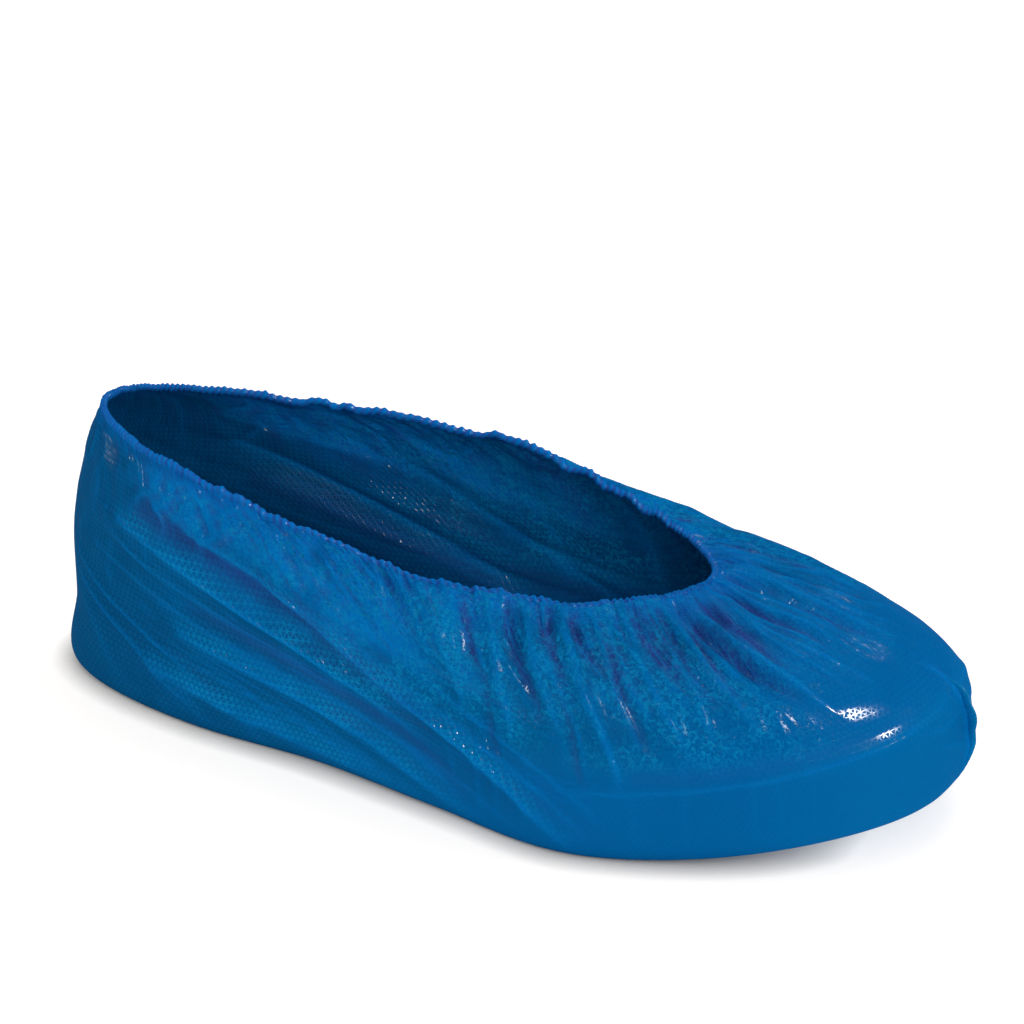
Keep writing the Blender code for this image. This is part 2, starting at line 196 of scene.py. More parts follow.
# Folds of the film, each a bent line from its start over its middle to its end.
# around: 0 at the heel, 0.25 on the outer side, 0.5 at the toe, 0.75 on the inner side.
# down: 0 at the hem, 0.9 at the underside. width: share of the fold width. rise: share of the
# fold depth, below zero for a valley. lean: above zero for a gentle slope on the side of lower
# around and a steep one on the other, below zero for the reverse.
Fold = namedtuple("Fold", "name around1 down1 around2 down2 around3 down3 width rise lean")
FOLDS = (
    Fold("heel drag, top", 0.105, 0.31, 0.184, 0.43, 0.240, 0.66, 0.62, 0.90, 0.45),
    Fold("valley over it", 0.120, 0.26, 0.202, 0.37, 0.250, 0.60, 0.70, -0.75, -0.2),
    Fold("lapped film edge", 0.150, 0.22, 0.190, 0.28, 0.225, 0.38, 0.45, 0.60, -0.55),
    Fold("heel drag, middle", 0.142, 0.62, 0.205, 0.716, 0.268, 0.875, 0.55, 0.68, 0.40),
    Fold("valley under the top drag", 0.150, 0.50, 0.205, 0.60, 0.262, 0.80, 0.60, -0.50, 0.0),
    Fold("waist drag", 0.198, 0.30, 0.250, 0.585, 0.306, 0.86, 0.58, 0.90, 0.45),
    Fold("heel drag, low", 0.126, 0.77, 0.196, 0.826, 0.252, 0.89, 0.52, 0.52, 0.30),
    Fold("waist gather", 0.288, 0.04, 0.279, 0.24, 0.267, 0.48, 0.46, 0.50, 0.2),
    Fold("outer valley 1", 0.306, 0.04, 0.294, 0.18, 0.286, 0.34, 0.26, -0.48, 0.2),
    Fold("outer gather 1", 0.316, 0.04, 0.297, 0.28, 0.286, 0.52, 0.34, 0.48, 0.2),
    Fold("outer valley 2", 0.330, 0.02, 0.314, 0.18, 0.301, 0.44, 0.26, -0.56, 0.2),
    Fold("outer gather 2", 0.338, 0.03, 0.319, 0.20, 0.306, 0.46, 0.32, 0.48, 0.2),
    Fold("outer valley 3", 0.353, 0.02, 0.335, 0.13, 0.325, 0.27, 0.22, -0.46, 0.2),
    Fold("outer gather 3", 0.358, 0.02, 0.330, 0.29, 0.323, 0.64, 0.36, 0.70, 0.35),
    Fold("outer valley 4", 0.367, 0.02, 0.352, 0.10, 0.345, 0.24, 0.26, -0.52, 0.2),
    Fold("outer gather 4", 0.382, 0.03, 0.357, 0.19, 0.347, 0.38, 0.30, 0.50, 0.3),
    Fold("outer valley 5", 0.360, 0.15, 0.343, 0.32, 0.337, 0.52, 0.26, -0.46, 0.2),
    Fold("outer gather 5", 0.388, 0.04, 0.360, 0.27, 0.353, 0.50, 0.30, 0.52, 0.3),
    Fold("pleat valley 1", 0.401, 0.03, 0.384, 0.13, 0.375, 0.28, 0.46, -0.66, 0.3),
    Fold("pleat 1", 0.420, 0.03, 0.395, 0.22, 0.384, 0.44, 0.28, 0.58, -0.3),
    Fold("pleat valley 2", 0.431, 0.03, 0.402, 0.18, 0.388, 0.36, 0.22, -0.46, 0.2),
    Fold("pleat valley 3", 0.435, 0.03, 0.416, 0.15, 0.414, 0.36, 0.38, -0.92, 0.2),
    Fold("pleat 2", 0.444, 0.03, 0.423, 0.17, 0.423, 0.44, 0.28, 0.82, -0.5),
    Fold("pleat valley 4", 0.450, 0.03, 0.440, 0.11, 0.427, 0.27, 0.32, -0.52, 0.2),
    Fold("toe ray 1", 0.460, 0.03, 0.451, 0.15, 0.460, 0.38, 0.25, 0.46, -0.3),
    Fold("toe valley 1", 0.480, 0.02, 0.471, 0.12, 0.466, 0.25, 0.16, -0.32, 0.1),
    Fold("toe ray 2", 0.494, 0.02, 0.486, 0.14, 0.488, 0.31, 0.23, 0.46, -0.3),
    Fold("toe valley 2", 0.506, 0.02, 0.498, 0.11, 0.502, 0.29, 0.18, -0.34, 0.1),
    Fold("toe ray 3", 0.518, 0.02, 0.511, 0.15, 0.511, 0.34, 0.23, 0.52, -0.3),
    Fold("toe ray 4", 0.528, 0.01, 0.529, 0.12, 0.553, 0.33, 0.22, 0.46, -0.2),
    Fold("toe valley 3", 0.545, 0.02, 0.541, 0.12, 0.550, 0.26, 0.20, -0.34, 0.1),
    Fold("toe ray 5", 0.553, 0.01, 0.559, 0.10, 0.572, 0.28, 0.22, 0.44, 0.2),
    Fold("toe ray 6", 0.571, 0.01, 0.583, 0.09, 0.590, 0.24, 0.24, 0.42, 0.2),
    Fold("inner pleat 1", 0.590, 0.02, 0.600, 0.12, 0.606, 0.34, 0.30, -0.42, -0.2),
    Fold("inner pleat 2", 0.608, 0.03, 0.618, 0.18, 0.630, 0.40, 0.36, 0.17, -0.3),
    Fold("inner gather 1", 0.630, 0.02, 0.640, 0.20, 0.652, 0.44, 0.32, -0.33, -0.2),
    Fold("inner gather 2", 0.655, 0.02, 0.668, 0.24, 0.680, 0.56, 0.40, 0.19, -0.3),
    Fold("inner gather 3", 0.680, 0.02, 0.692, 0.24, 0.700, 0.52, 0.32, -0.30, -0.2),
    Fold("inner gather 4", 0.704, 0.02, 0.712, 0.26, 0.716, 0.60, 0.40, 0.33, -0.3),
    Fold("inner gather 5", 0.728, 0.02, 0.732, 0.24, 0.736, 0.50, 0.36, -0.28, -0.2),
    Fold("inner waist gather", 0.752, 0.02, 0.752, 0.28, 0.748, 0.62, 0.55, 0.55, -0.2),
    Fold("inner waist drag", 0.800, 0.26, 0.762, 0.50, 0.716, 0.80, 0.62, 0.70, -0.35),
    Fold("inner heel drag, top", 0.880, 0.30, 0.816, 0.46, 0.766, 0.70, 0.62, 0.75, -0.40),
    Fold("inner heel valley", 0.870, 0.42, 0.806, 0.58, 0.758, 0.78, 0.60, -0.50, 0.0),
    Fold("inner heel drag, low", 0.880, 0.60, 0.810, 0.72, 0.750, 0.86, 0.50, 0.50, -0.35),
)
# Creases that only thin film shows: the same columns
CREASES = (
    Fold("crease by the top drag", 0.090, 0.36, 0.160, 0.47, 0.215, 0.63, 0.22, 0.16, 0.3),
    Fold("crease under it", 0.080, 0.44, 0.150, 0.56, 0.220, 0.76, 0.20, 0.14, 0.3),
    Fold("crease over the middle drag", 0.130, 0.54, 0.205, 0.66, 0.262, 0.82, 0.20, 0.18, 0.3),
    Fold("crease over the low drag", 0.120, 0.70, 0.190, 0.77, 0.258, 0.88, 0.18, 0.20, 0.3),
    Fold("crease in the waist 1", 0.218, 0.34, 0.262, 0.58, 0.310, 0.82, 0.20, 0.22, 0.3),
    Fold("crease in the waist 2", 0.232, 0.28, 0.274, 0.54, 0.314, 0.78, 0.20, 0.18, 0.3),
    Fold("outer crease 1", 0.297, 0.06, 0.286, 0.20, 0.278, 0.36, 0.15, 0.26, 0.2),
    Fold("outer crease 2", 0.293, 0.27, 0.278, 0.49, 0.279, 0.68, 0.18, -0.26, 0.2),
    Fold("outer crease 3", 0.319, 0.30, 0.309, 0.52, 0.309, 0.68, 0.18, -0.30, 0.2),
    Fold("outer crease 4", 0.346, 0.02, 0.340, 0.07, 0.333, 0.13, 0.14, -0.34, 0.2),
    Fold("outer crease 5", 0.346, 0.04, 0.322, 0.26, 0.312, 0.52, 0.15, 0.26, 0.3),
    Fold("outer crease 6", 0.370, 0.05, 0.346, 0.26, 0.334, 0.50, 0.15, 0.28, 0.3),
    Fold("outer crease 7", 0.408, 0.04, 0.380, 0.24, 0.364, 0.48, 0.15, 0.26, 0.3),
    Fold("outer crease 8", 0.412, 0.04, 0.390, 0.18, 0.379, 0.34, 0.14, -0.28, 0.2),
    Fold("front crease 1", 0.426, 0.05, 0.406, 0.20, 0.398, 0.40, 0.15, 0.28, -0.3),
    Fold("front crease 2", 0.440, 0.04, 0.430, 0.13, 0.428, 0.30, 0.15, -0.32, 0.0),
    Fold("front crease 3", 0.455, 0.04, 0.445, 0.15, 0.444, 0.36, 0.15, 0.30, -0.3),
    Fold("front crease 4", 0.470, 0.03, 0.461, 0.12, 0.464, 0.30, 0.14, 0.30, -0.3),
    Fold("toe crease 1", 0.486, 0.03, 0.478, 0.12, 0.478, 0.28, 0.14, 0.30, -0.2),
    Fold("toe crease 2", 0.500, 0.02, 0.492, 0.13, 0.495, 0.30, 0.14, 0.28, -0.2),
    Fold("toe crease 3", 0.523, 0.02, 0.519, 0.12, 0.524, 0.30, 0.14, 0.30, -0.2),
    Fold("toe crease 4", 0.536, 0.01, 0.536, 0.10, 0.549, 0.24, 0.14, 0.28, 0.2),
    Fold("toe crease 5", 0.562, 0.01, 0.571, 0.10, 0.582, 0.26, 0.14, 0.30, 0.2),
    Fold("toe crease 6", 0.582, 0.02, 0.594, 0.12, 0.606, 0.30, 0.15, 0.30, -0.2),
    Fold("rand ledge, outer", 0.300, 0.715, 0.400, 0.645, 0.496, 0.565, 0.30, 0.22, -0.3),
    Fold("rand hollow, outer", 0.330, 0.640, 0.405, 0.585, 0.480, 0.520, 0.42, -0.16, 0.0),
    Fold("rand ledge, inner", 0.504, 0.565, 0.600, 0.645, 0.700, 0.715, 0.30, 0.20, 0.3),
    Fold("film drawn to the weld", 0.500, 0.450, 0.500, 0.665, 0.500, 0.880, 0.34, 0.55, 0.0),
    Fold("toe pucker 1", 0.470, 0.640, 0.485, 0.660, 0.499, 0.640, 0.14, 0.14, 0.0),
    Fold("toe pucker 2", 0.478, 0.730, 0.490, 0.745, 0.499, 0.770, 0.14, 0.14, 0.0),
    Fold("toe pucker 3", 0.530, 0.640, 0.515, 0.660, 0.501, 0.640, 0.14, 0.14, 0.0),
    Fold("toe pucker 4", 0.522, 0.730, 0.510, 0.745, 0.501, 0.770, 0.14, 0.14, 0.0),
)
# Points of a fold's line
PATH_STEPS = 24

# Form of a fold across its line. Shares of its width: where it ends, the fall of its height, the
# mask of its flanks and the mask of a valley. Metres: the mask of its crest, and the turn from
# its one flank to the other.
FOLD_END = 3.2
FOLD_FALL = 0.66
FOLD_FALL_POWER = 1.12
FLANK_MASK = 1.05
VALLEY_MASK = 0.48
CREST_LINE = 0.0008
FLANK_TURN = 0.0007
# A fold of this share of the fold depth or more shows its masks in full.
FULL_MASK_RISE = 1 / 2.4

# Short crinkles of the loose layers, and the lower edge of these layers: places from the heel,
# and how far down it lies there
LOOSE_CRINKLES = 84
LAP_PLACES = (0.100, 0.150, 0.190, 0.225, 0.300)
LAP_DOWN = (0.160, 0.235, 0.285, 0.360, 0.420)

# Way of the gathers: how far round a gather that starts at the hem has moved once it is well
# down, from the hem's places in the first row to the shifts in the second.
GATHER_STARTS = (
    0.00, 0.06, 0.12, 0.20, 0.25, 0.30, 0.36, 0.40, 0.45, 0.48,
    0.516, 0.56, 0.60, 0.65, 0.70, 0.75, 0.80, 0.88, 0.94, 1.00,
)
GATHER_SHIFTS = (
    0.000, 0.018, 0.030, 0.028, 0.006, -0.018, -0.030, -0.036, -0.050, -0.048,
    -0.034, -0.014, 0.012, 0.022, 0.012, 0.000, -0.022, -0.030, -0.018, 0.000,
)
GATHER_TURN_DOWN = 0.15
GATHER_ROUNDS = 8

# Where the film's columns lie close together: places round the film, and how close
COLUMN_PLACES = (0.00, 0.10, 0.18, 0.26, 0.30, 0.54, 0.62, 0.72, 0.85, 1.00)
COLUMN_DENSITY = (0.60, 0.80, 1.20, 1.45, 1.75, 1.75, 1.10, 0.80, 0.65, 0.60)

# How far forward the shallow drags of the heel move on the way from the hem to the sole
DRAG_SLANT = 0.42

# The hem roll: half ribs round it, faces round its section, how far its middle lies inside the
# film, and the share of the gathers that it follows
HEM_HALF_RIBS = 460
HEM_SIDES = 12
HEM_SINK = 0.0006
HEM_FOLLOWS = 0.6

# Bands of gathers: how many round the hem, rows of change on the way down, how far down they
# reach, their share of the gather depth, and how crisp they are
Band = namedtuple("Band", "count rows reach depth crisp")
BANDS = (
    Band(260, 12, 0.050, 0.20, 0.0),
    Band(150, 8, 0.130, 0.65, 0.6),
    Band(104, 7, 0.300, 0.80, 1.0),
    Band(60, 4, 0.600, 0.60, 1.0),
)

# Zones of the film: places round it from the heel or down it from the hem, between which a soft
# step rises, or rises and falls again
HEEL_DRAGS_END = (0.27, 0.33)
DRAG_RIPPLES_ROUND = (0.03, 0.10, 0.25, 0.32)
DRAG_RIPPLES_DOWN = (0.12, 0.35, 0.80, 0.90)
DRAG_CREASES_ROUND = (0.09, 0.17, 0.26, 0.34)
DRAG_CREASES_DOWN = (0.10, 0.34, 0.80, 0.90)
HEM_DRIFT_ROUND = (0.08, 0.16, 0.34, 0.44)
LAYERS_ROUND = (0.10, 0.18, 0.24, 0.34)
LOOSE_ROUND = (0.10, 0.16, 0.23, 0.31)
LOOSE_DOWN = (0.02, 0.08)
TOE_RAYS_ROUND = (0.42, 0.48, 0.58, 0.66)
TOE_CAP_ROUND = (0.385, 0.43)
TOE_CAP_DOWN = (0.26, 0.42)


def curve_spans(knots, values, places):
    """For a cubic through values (first axis) at the knots: the span that each place lies in, its
    share of the way along it, and the slope at each knot, the mean of the spans beside it."""
    tail = (1,) * (values.ndim - 1)
    rise = np.diff(values, axis=0) / np.diff(knots).reshape((-1,) + tail)
    slope = np.concatenate([rise[:1], (rise[1:] + rise[:-1]) / 2, rise[-1:]])
    low = np.clip(np.searchsorted(knots, places, side="right") - 1, 0, len(knots) - 2)
    return low, (places - knots[low]) / (knots[low + 1] - knots[low]), slope


def mix_cubic(share, width, start, end, slope_start, slope_end):
    """The cubic that leaves start and reaches end with the slopes given: each of the four times
    its own Hermite polynomial of the share."""
    square = share * share
    cube = square * share
    return (
        (2 * cube - 3 * square + 1) * start
        + (cube - 2 * square + share) * width * slope_start
        + (3 * square - 2 * cube) * end
        + (cube - square) * width * slope_end
    )


def station_value(row, places):
    """A row of values at the stations, read at the places between heel and toe."""
    knots = np.asarray(STATIONS)
    row = np.asarray(row)
    low, share, slope = curve_spans(knots, row, places)
    return mix_cubic(
        share, np.diff(knots)[low], row[low], row[low + 1], slope[low], slope[low + 1]
    )


def underside_height(sizes, x_share):
    """Lift of the underside: the toe spring times the square of the way into the toe."""
    way = (x_share - SPRING_START_SHARE) / (SPRING_END_SHARE - SPRING_START_SHARE)
    return sizes.toe_spring * np.clip(way, 0.0, SPRING_MOST) ** 2


def section_points(sizes, section, around):
    """A rounded oval: x by a cosine between heel and toe, y by the half widths times the oval,
    z by the heights, the spring and a lift of the inner side that swells and falls."""
    angle = 2 * math.pi * around
    place = (1 - np.cos(angle)) / 2
    oval = (1 - np.abs(np.cos(angle)) ** section.round) ** (1 / section.round)
    inner_side = around > 0.5
    half = np.where(
        inner_side, station_value(section.inner, place), -station_value(section.outer, place)
    )
    x_share = section.heel + (section.toe - section.heel) * place
    swell = LIFT_SCALE * place**2 * (1 - place)
    lift = section.lift * sizes.far_lift * swell * oval * inner_side
    x = (x_share - 0.5) * sizes.cover_length
    y = section.turn * sizes.toe_turn * place**2 + half * sizes.ball_width * oval
    z = station_value(section.height, place) * sizes.hem_height + lift
    z = z + section.spring * underside_height(sizes, x_share) - sizes.underside
    return np.stack([x, y, z], axis=-1)


def base_film(sizes, around, down):
    """The film without folds: a cubic loft down through the sections, held over the underside.
    around is a row, down a grid with a row for each."""
    sections = np.stack([section_points(sizes, section, around) for section in SECTIONS])
    knots = np.array([section.down for section in SECTIONS])
    low, share, slope = curve_spans(knots, sections, down)
    column = np.arange(len(around))[:, None]
    width = np.diff(knots)[low][..., None]
    points = mix_cubic(share[..., None], width, sections[low, column], sections[low + 1, column],
                       slope[low, column], slope[low + 1, column])
    return hold_over_floor(sizes, points)


def hold_over_floor(sizes, points):
    """The points with none under the underside of the film."""
    floor = underside_height(sizes, points[..., 0] / sizes.cover_length + 0.5) - sizes.underside
    points[..., 2] = np.maximum(points[..., 2], floor)
    return points


def outward(points):
    """Unit normals of a closed ring grid: across the step down and the step round."""
    along = np.roll(points, -1, axis=0) - np.roll(points, 1, axis=0)
    down = np.gradient(points, axis=1)
    normal = np.cross(down, along)
    return normal / np.maximum(np.linalg.norm(normal, axis=-1, keepdims=True), 1e-12)


def soft_step(low, high, value):
    """0 below low, 1 above high, and a smooth S between them."""
    share = np.clip((value - low) / (high - low), 0.0, 1.0)
    return share * share * (3 - 2 * share)


def zone(value, rise_start, rise_end, fall_start, fall_end):
    """1 within a zone and 0 outside it, with a soft step up and a soft step down."""
    return soft_step(rise_start, rise_end, value) * (1 - soft_step(fall_start, fall_end, value))


def round_from_heel(around):
    """How far round the film a place lies from the heel on either side, up to 0.5 at the toe. It
    is a column, to go with a grid that has a row for each place."""
    return np.minimum(around, 1 - around)[:, None]


def fold_path(sizes, fold):
    """Points in space of a fold's bent line: a curve that passes its middle at half way."""
    step = np.linspace(0.0, 1.0, PATH_STEPS)
    ends = (1 - step) ** 2, 2 * step * (1 - step), step**2
    bend_around = 2 * fold.around2 - (fold.around1 + fold.around3) / 2
    bend_down = 2 * fold.down2 - (fold.down1 + fold.down3) / 2
    around = ends[0] * fold.around1 + ends[1] * bend_around + ends[2] * fold.around3
    down = ends[0] * fold.down1 + ends[1] * bend_down + ends[2] * fold.down3
    return base_film(sizes, around, down[:, None])[:, 0]


def off_path(points, normals, path):
    """Distance of each point from a line, positive on the side of lower around, and the place on
    the line (0 to 1) that it is nearest to."""
    start, run = path[:-1], np.diff(path, axis=0)
    offset = points[:, None] - start
    share = np.clip((offset * run).sum(-1) / (run * run).sum(-1), 0.0, 1.0)
    gap = offset - share[..., None] * run
    apart = np.sqrt((gap * gap).sum(-1))
    nearest = apart.argmin(axis=1)
    row = np.arange(len(points))
    side = np.sign((np.cross(run[nearest], normals) * gap[row, nearest]).sum(-1))
    return apart[row, nearest] * side, (nearest + share[row, nearest]) / len(run)


def fold_field(sizes, points, normals, folds):
    """Height of the folds, and masks of their crests, valleys, steep upper flanks and gentle lower
    flanks. A fold swells and fades along its line as a sine, and falls off across it as an
    exponential of the distance, blunted at the crest and wider on its gentle side."""
    flat, flat_normals = points.reshape(-1, 3), normals.reshape(-1, 3)
    rise, crest, valley, upper, lower = np.zeros((5, len(flat)))
    for fold in folds:
        path = fold_path(sizes, fold)
        width = fold.width * sizes.fold_width
        end = FOLD_END * width
        near = np.flatnonzero(np.all((flat > path.min(0) - end) & (flat < path.max(0) + end), -1))
        apart, place = off_path(flat[near], flat_normals[near], path)
        full = np.sin(math.pi * np.clip(place * 0.86 + 0.10, 0.0, 1.0)) ** 0.7
        reach = width * (1 + fold.lean * np.sign(apart))
        blunt = np.hypot(apart, sizes.crest_radius) - sizes.crest_radius
        swell = np.exp(-((blunt / (FOLD_FALL * reach)) ** FOLD_FALL_POWER)) * full
        rise[near] += fold.rise * sizes.fold_depth * swell
        strength = min(1.0, abs(fold.rise) / FULL_MASK_RISE)
        if fold.rise > 0:
            line = np.exp(-((apart / CREST_LINE) ** 2)) * full * strength
            crest[near] = np.maximum(crest[near], line)
            turn = np.clip(apart / FLANK_TURN * np.sign(fold.lean), -30, 30)
            turned = 1 / (1 + np.exp(turn))
            wide = np.exp(-((apart / (FLANK_MASK * reach)) ** 2)) * full * strength
            upper[near] = np.maximum(upper[near], wide * turned)
            lower[near] = np.maximum(lower[near], wide * (1 - turned))
        else:
            wide = np.exp(-((apart / (VALLEY_MASK * width)) ** 2)) * full * strength
            valley[near] = np.maximum(valley[near], wide)
    shape = points.shape[:2]
    return [part.reshape(shape) for part in (rise, crest, valley, upper, lower)]


def loose_crinkles(seed):
    """Short random crinkles of the loose layers in front of the heel, each third one on the inner
    side: lines that fall and turn by random amounts from a random place near the hem."""
    random = np.random.default_rng(seed)
    crinkles = []
    for number in range(LOOSE_CRINKLES):
        around, down = random.uniform(0.115, 0.285), random.uniform(0.02, 0.20)
        turn, fall = random.uniform(-0.022, 0.020), random.uniform(0.05, 0.13)
        bend = random.uniform(-0.006, 0.006)
        places = [around, around + turn / 2 + bend, around + turn]
        if number % 3 == 0:
            places = [1 - place for place in places]
        crinkles.append(Fold(f"loose crinkle {number + 1}", places[0], down, places[1],
                             down + fall / 2, places[2], down + fall,
                             random.uniform(0.11, 0.20), random.uniform(0.13, 0.27), 0.3))
    return crinkles


def ripple(place, down, count, rows, seed):
    """Smooth random bands from -1 to 1: random values at count places round and at rows on the
    way down, read between them with an S blend. It closes on itself round the hem."""
    table = np.random.default_rng(seed).uniform(-1.0, 1.0, (count, rows + 2))
    across = np.mod(place, 1.0) * count
    low = np.floor(across).astype(int)
    share = soft_step(0.0, 1.0, across - low)
    along = np.clip(down, 0.0, 1.0) * rows
    row = np.minimum(np.floor(along).astype(int), rows)
    part = soft_step(0.0, 1.0, along - row)
    left, right = low % count, (low + 1) % count
    top = table[left, row] * (1 - share) + table[right, row] * share
    low_end = table[left, row + 1] * (1 - share) + table[right, row + 1] * share
    return top * (1 - part) + low_end * part


def gather_way(around, down):
    """The place at the hem from which the gather through a point starts: the point's own place
    less the shift of that gather, found in a few rounds."""
    turned = 1 - np.exp(-down / GATHER_TURN_DOWN)
    start = np.broadcast_to(around[:, None], down.shape)
    for _ in range(GATHER_ROUNDS):
        shift = np.interp(np.mod(start, 1.0), GATHER_STARTS, GATHER_SHIFTS)
        start = around[:, None] - shift * turned
    return start


def hem_ribs(sizes, start, down):
    """Height of the fine ribs that the elastic gathers, from -1 to 1: a random height at each half
    rib with its sign turned at every step, read between them with an S blend. They lean a little
    and grow weaker and stronger round the hem."""
    table = np.random.default_rng(sizes.seed + 80).uniform(0.25, 1.0, (HEM_HALF_RIBS, 2))
    table[1::2] *= -1
    lean = ripple(start, np.zeros(down.shape), 46, 1, sizes.seed + 81)
    across = np.mod(start + 0.03 * lean * down, 1.0) * HEM_HALF_RIBS
    low = np.floor(across).astype(int)
    share = soft_step(0.0, 1.0, across - low)
    way = soft_step(0.0, 0.08, down)
    left, right = low % HEM_HALF_RIBS, (low + 1) % HEM_HALF_RIBS
    top = table[left, 0] * (1 - share) + table[right, 0] * share
    low_end = table[left, 1] * (1 - share) + table[right, 1] * share
    strength = 0.75 + 0.35 * ripple(start, down, 70, 6, sizes.seed + 82)
    return (top * (1 - way) + low_end * way) * strength


def hem_drift(sizes, around):
    """How much higher the hem's line runs at each place: small random dips and peaks, most of all
    where the film lies in loose layers."""
    level = np.zeros((len(around), 1))
    waves = 0.7 * ripple(around[:, None], level, 74, 1, sizes.seed + 90)
    waves = waves + 0.4 * ripple(around[:, None], level, 170, 1, sizes.seed + 91)
    loose = zone(round_from_heel(around), *HEM_DRIFT_ROUND)
    return (sizes.gather_depth * (0.25 + 0.85 * loose) * waves)[:, 0]


def gather_field(sizes, around, down):
    """Height of the gathers: bands of ripples that are finer and shorter near the hem. Crisp
    bands are folded at nought, so that they have sharp crests and round valleys."""
    start = gather_way(around, down)
    rise = np.zeros(down.shape)
    # Fine rays run long over the toe.
    toe = zone(around, *TOE_RAYS_ROUND)[:, None]
    for number, band in enumerate(BANDS):
        wave = ripple(start, down, band.count, band.rows, sizes.seed + number)
        folded = 1 - 2.2 * np.abs(wave) ** 0.85
        wave = wave * (1 - band.crisp) + folded * band.crisp
        reach = band.reach * (1 + 1.6 * toe * (number < 2))
        fade = np.exp(-((down / reach) ** 1.6))
        if number:
            fade = fade * (0.3 + 0.7 * soft_step(0.0, 0.6 * BANDS[number - 1].reach, down))
        rise = rise + band.depth * wave * fade
    ribs = hem_ribs(sizes, start, down)
    # The film stands off in a small roll where it leaves the hem.
    rise = rise + 0.26 * ribs * np.exp(-((down / 0.075) ** 1.5))
    rise = rise + 0.55 * np.exp(-((down / 0.045) ** 2))
    # The heel lies smoother than the gathered front, and so does the inner side.
    side = 0.45 + 0.55 * soft_step(0.16, 0.27, round_from_heel(around))
    side = side * (1 - 0.45 * soft_step(0.54, 0.66, around))[:, None]
    return sizes.gather_depth * rise * side, ribs


def drag_field(sizes, around, down):
    """Height of the shallow drags that run from the back of the heel down to the waist: ripples
    of a place that moves forward on the way down, on the heel's two sides."""
    from_heel = round_from_heel(around)
    slant = from_heel - DRAG_SLANT * (down - 0.3)
    wave = ripple(slant + (around[:, None] > 0.5) * 0.37, down * 0.5, 34, 3, sizes.seed + 20)
    folded = 1 - 2.0 * np.abs(wave) ** 0.9
    patch = zone(from_heel, *DRAG_RIPPLES_ROUND) * zone(down, *DRAG_RIPPLES_DOWN)
    return 0.55 * sizes.gather_depth * folded * patch


LENGTH_STEPS_ROUND = 256
LENGTH_STEPS_DOWN = 80
RAND_DOWN = 0.72


def film_lengths(sizes, around, down):
    """The film's own flat measures at each point: how far round the ring from the middle of the
    side, and how far down from the hem, both in metres. Towards heel and toe the first is read
    at the rand, so that the embossing isn't sheared there. Both are sums of the steps of a
    coarse grid, read between its places in a straight line."""
    knots_around = np.linspace(0.0, 1.0, LENGTH_STEPS_ROUND + 1)
    knots_down = np.linspace(0.0, 1.0, LENGTH_STEPS_DOWN + 1)
    grid = base_film(sizes, knots_around, np.tile(knots_down, (len(knots_around), 1)))
    ring = np.linalg.norm(np.diff(grid, axis=0), axis=-1).cumsum(axis=0)
    ring = np.concatenate([np.zeros((1, len(knots_down))), ring])
    fall = np.linalg.norm(np.diff(grid, axis=1), axis=-1).cumsum(axis=1)
    fall = np.concatenate([np.zeros((len(knots_around), 1)), fall], axis=1)
    toe, outer, inner = (LENGTH_STEPS_ROUND * quarter // 4 for quarter in (2, 1, 3))
    ring[: toe + 1] -= ring[outer]
    ring[toe + 1 :] = ring[inner] - ring[toe + 1 :]
    rand = round(RAND_DOWN * LENGTH_STEPS_DOWN)
    ring[toe + 1 :] += ring[toe, rand] - ring[toe + 1, rand]
    own = zone(round_from_heel(knots_around), 0.0, 0.14, 0.36, 0.5)
    ring = own * ring + (1 - own) * ring[:, rand : rand + 1]

    place = np.broadcast_to(around[:, None], down.shape) * LENGTH_STEPS_ROUND
    fall_place = down * LENGTH_STEPS_DOWN
    i = np.minimum(place.astype(int), LENGTH_STEPS_ROUND - 1)
    j = np.minimum(fall_place.astype(int), LENGTH_STEPS_DOWN - 1)
    p, q = place - i, fall_place - j
    return tuple(
        (table[i, j] * (1 - p) + table[i + 1, j] * p) * (1 - q)
        + (table[i, j + 1] * (1 - p) + table[i + 1, j + 1] * p) * q
        for table in (ring, fall)
    )


def film_columns(count):
    """Places round the film, closed, whose spacing is the inverse of the column density."""
    places = np.linspace(0.0, 1.0, 1001)
    dense = np.interp(places, COLUMN_PLACES, COLUMN_DENSITY)
    total = np.concatenate([[0.0], ((dense[1:] + dense[:-1]) / 2).cumsum()])
    return np.interp(np.arange(count) / count, total / total[-1], places)


RIDGE_REACH = 0.0035


def ridge_line(points, rise):
    """How far the film stands above (or, below zero, lies under) its own mean within 3.5 mm to
    both sides round the ring, which is a difference of running sums: lines along crests and
    creases."""
    step = np.linalg.norm(np.diff(points, axis=0), axis=-1).mean()
    reach = max(2, round(RIDGE_REACH / step))
    wrapped = np.concatenate([rise[-reach:], rise, rise[:reach]])
    total = np.concatenate([np.zeros((1, rise.shape[1])), wrapped.cumsum(axis=0)])
    return rise - (total[2 * reach + 1 :] - total[: -2 * reach - 1]) / (2 * reach + 1)


def film_rows():
    """Places down the film: the fine rows of the gathered collar, then the coarser ones."""
    collar = np.linspace(0.0, 0.105, 19)
    body = np.concatenate([np.linspace(0.113, 0.66, 62), np.linspace(0.668, 0.905, 21)])
    sole = np.array([0.918, 0.935, 0.96, 1.0])
    return collar, np.concatenate([body, sole])


def toe_cap(around, down):
    """1 on the smooth cap over the toe, 0 where the film is gathered and crushed."""
    return soft_step(*TOE_CAP_ROUND, round_from_heel(around)) * soft_step(*TOE_CAP_DOWN, down)


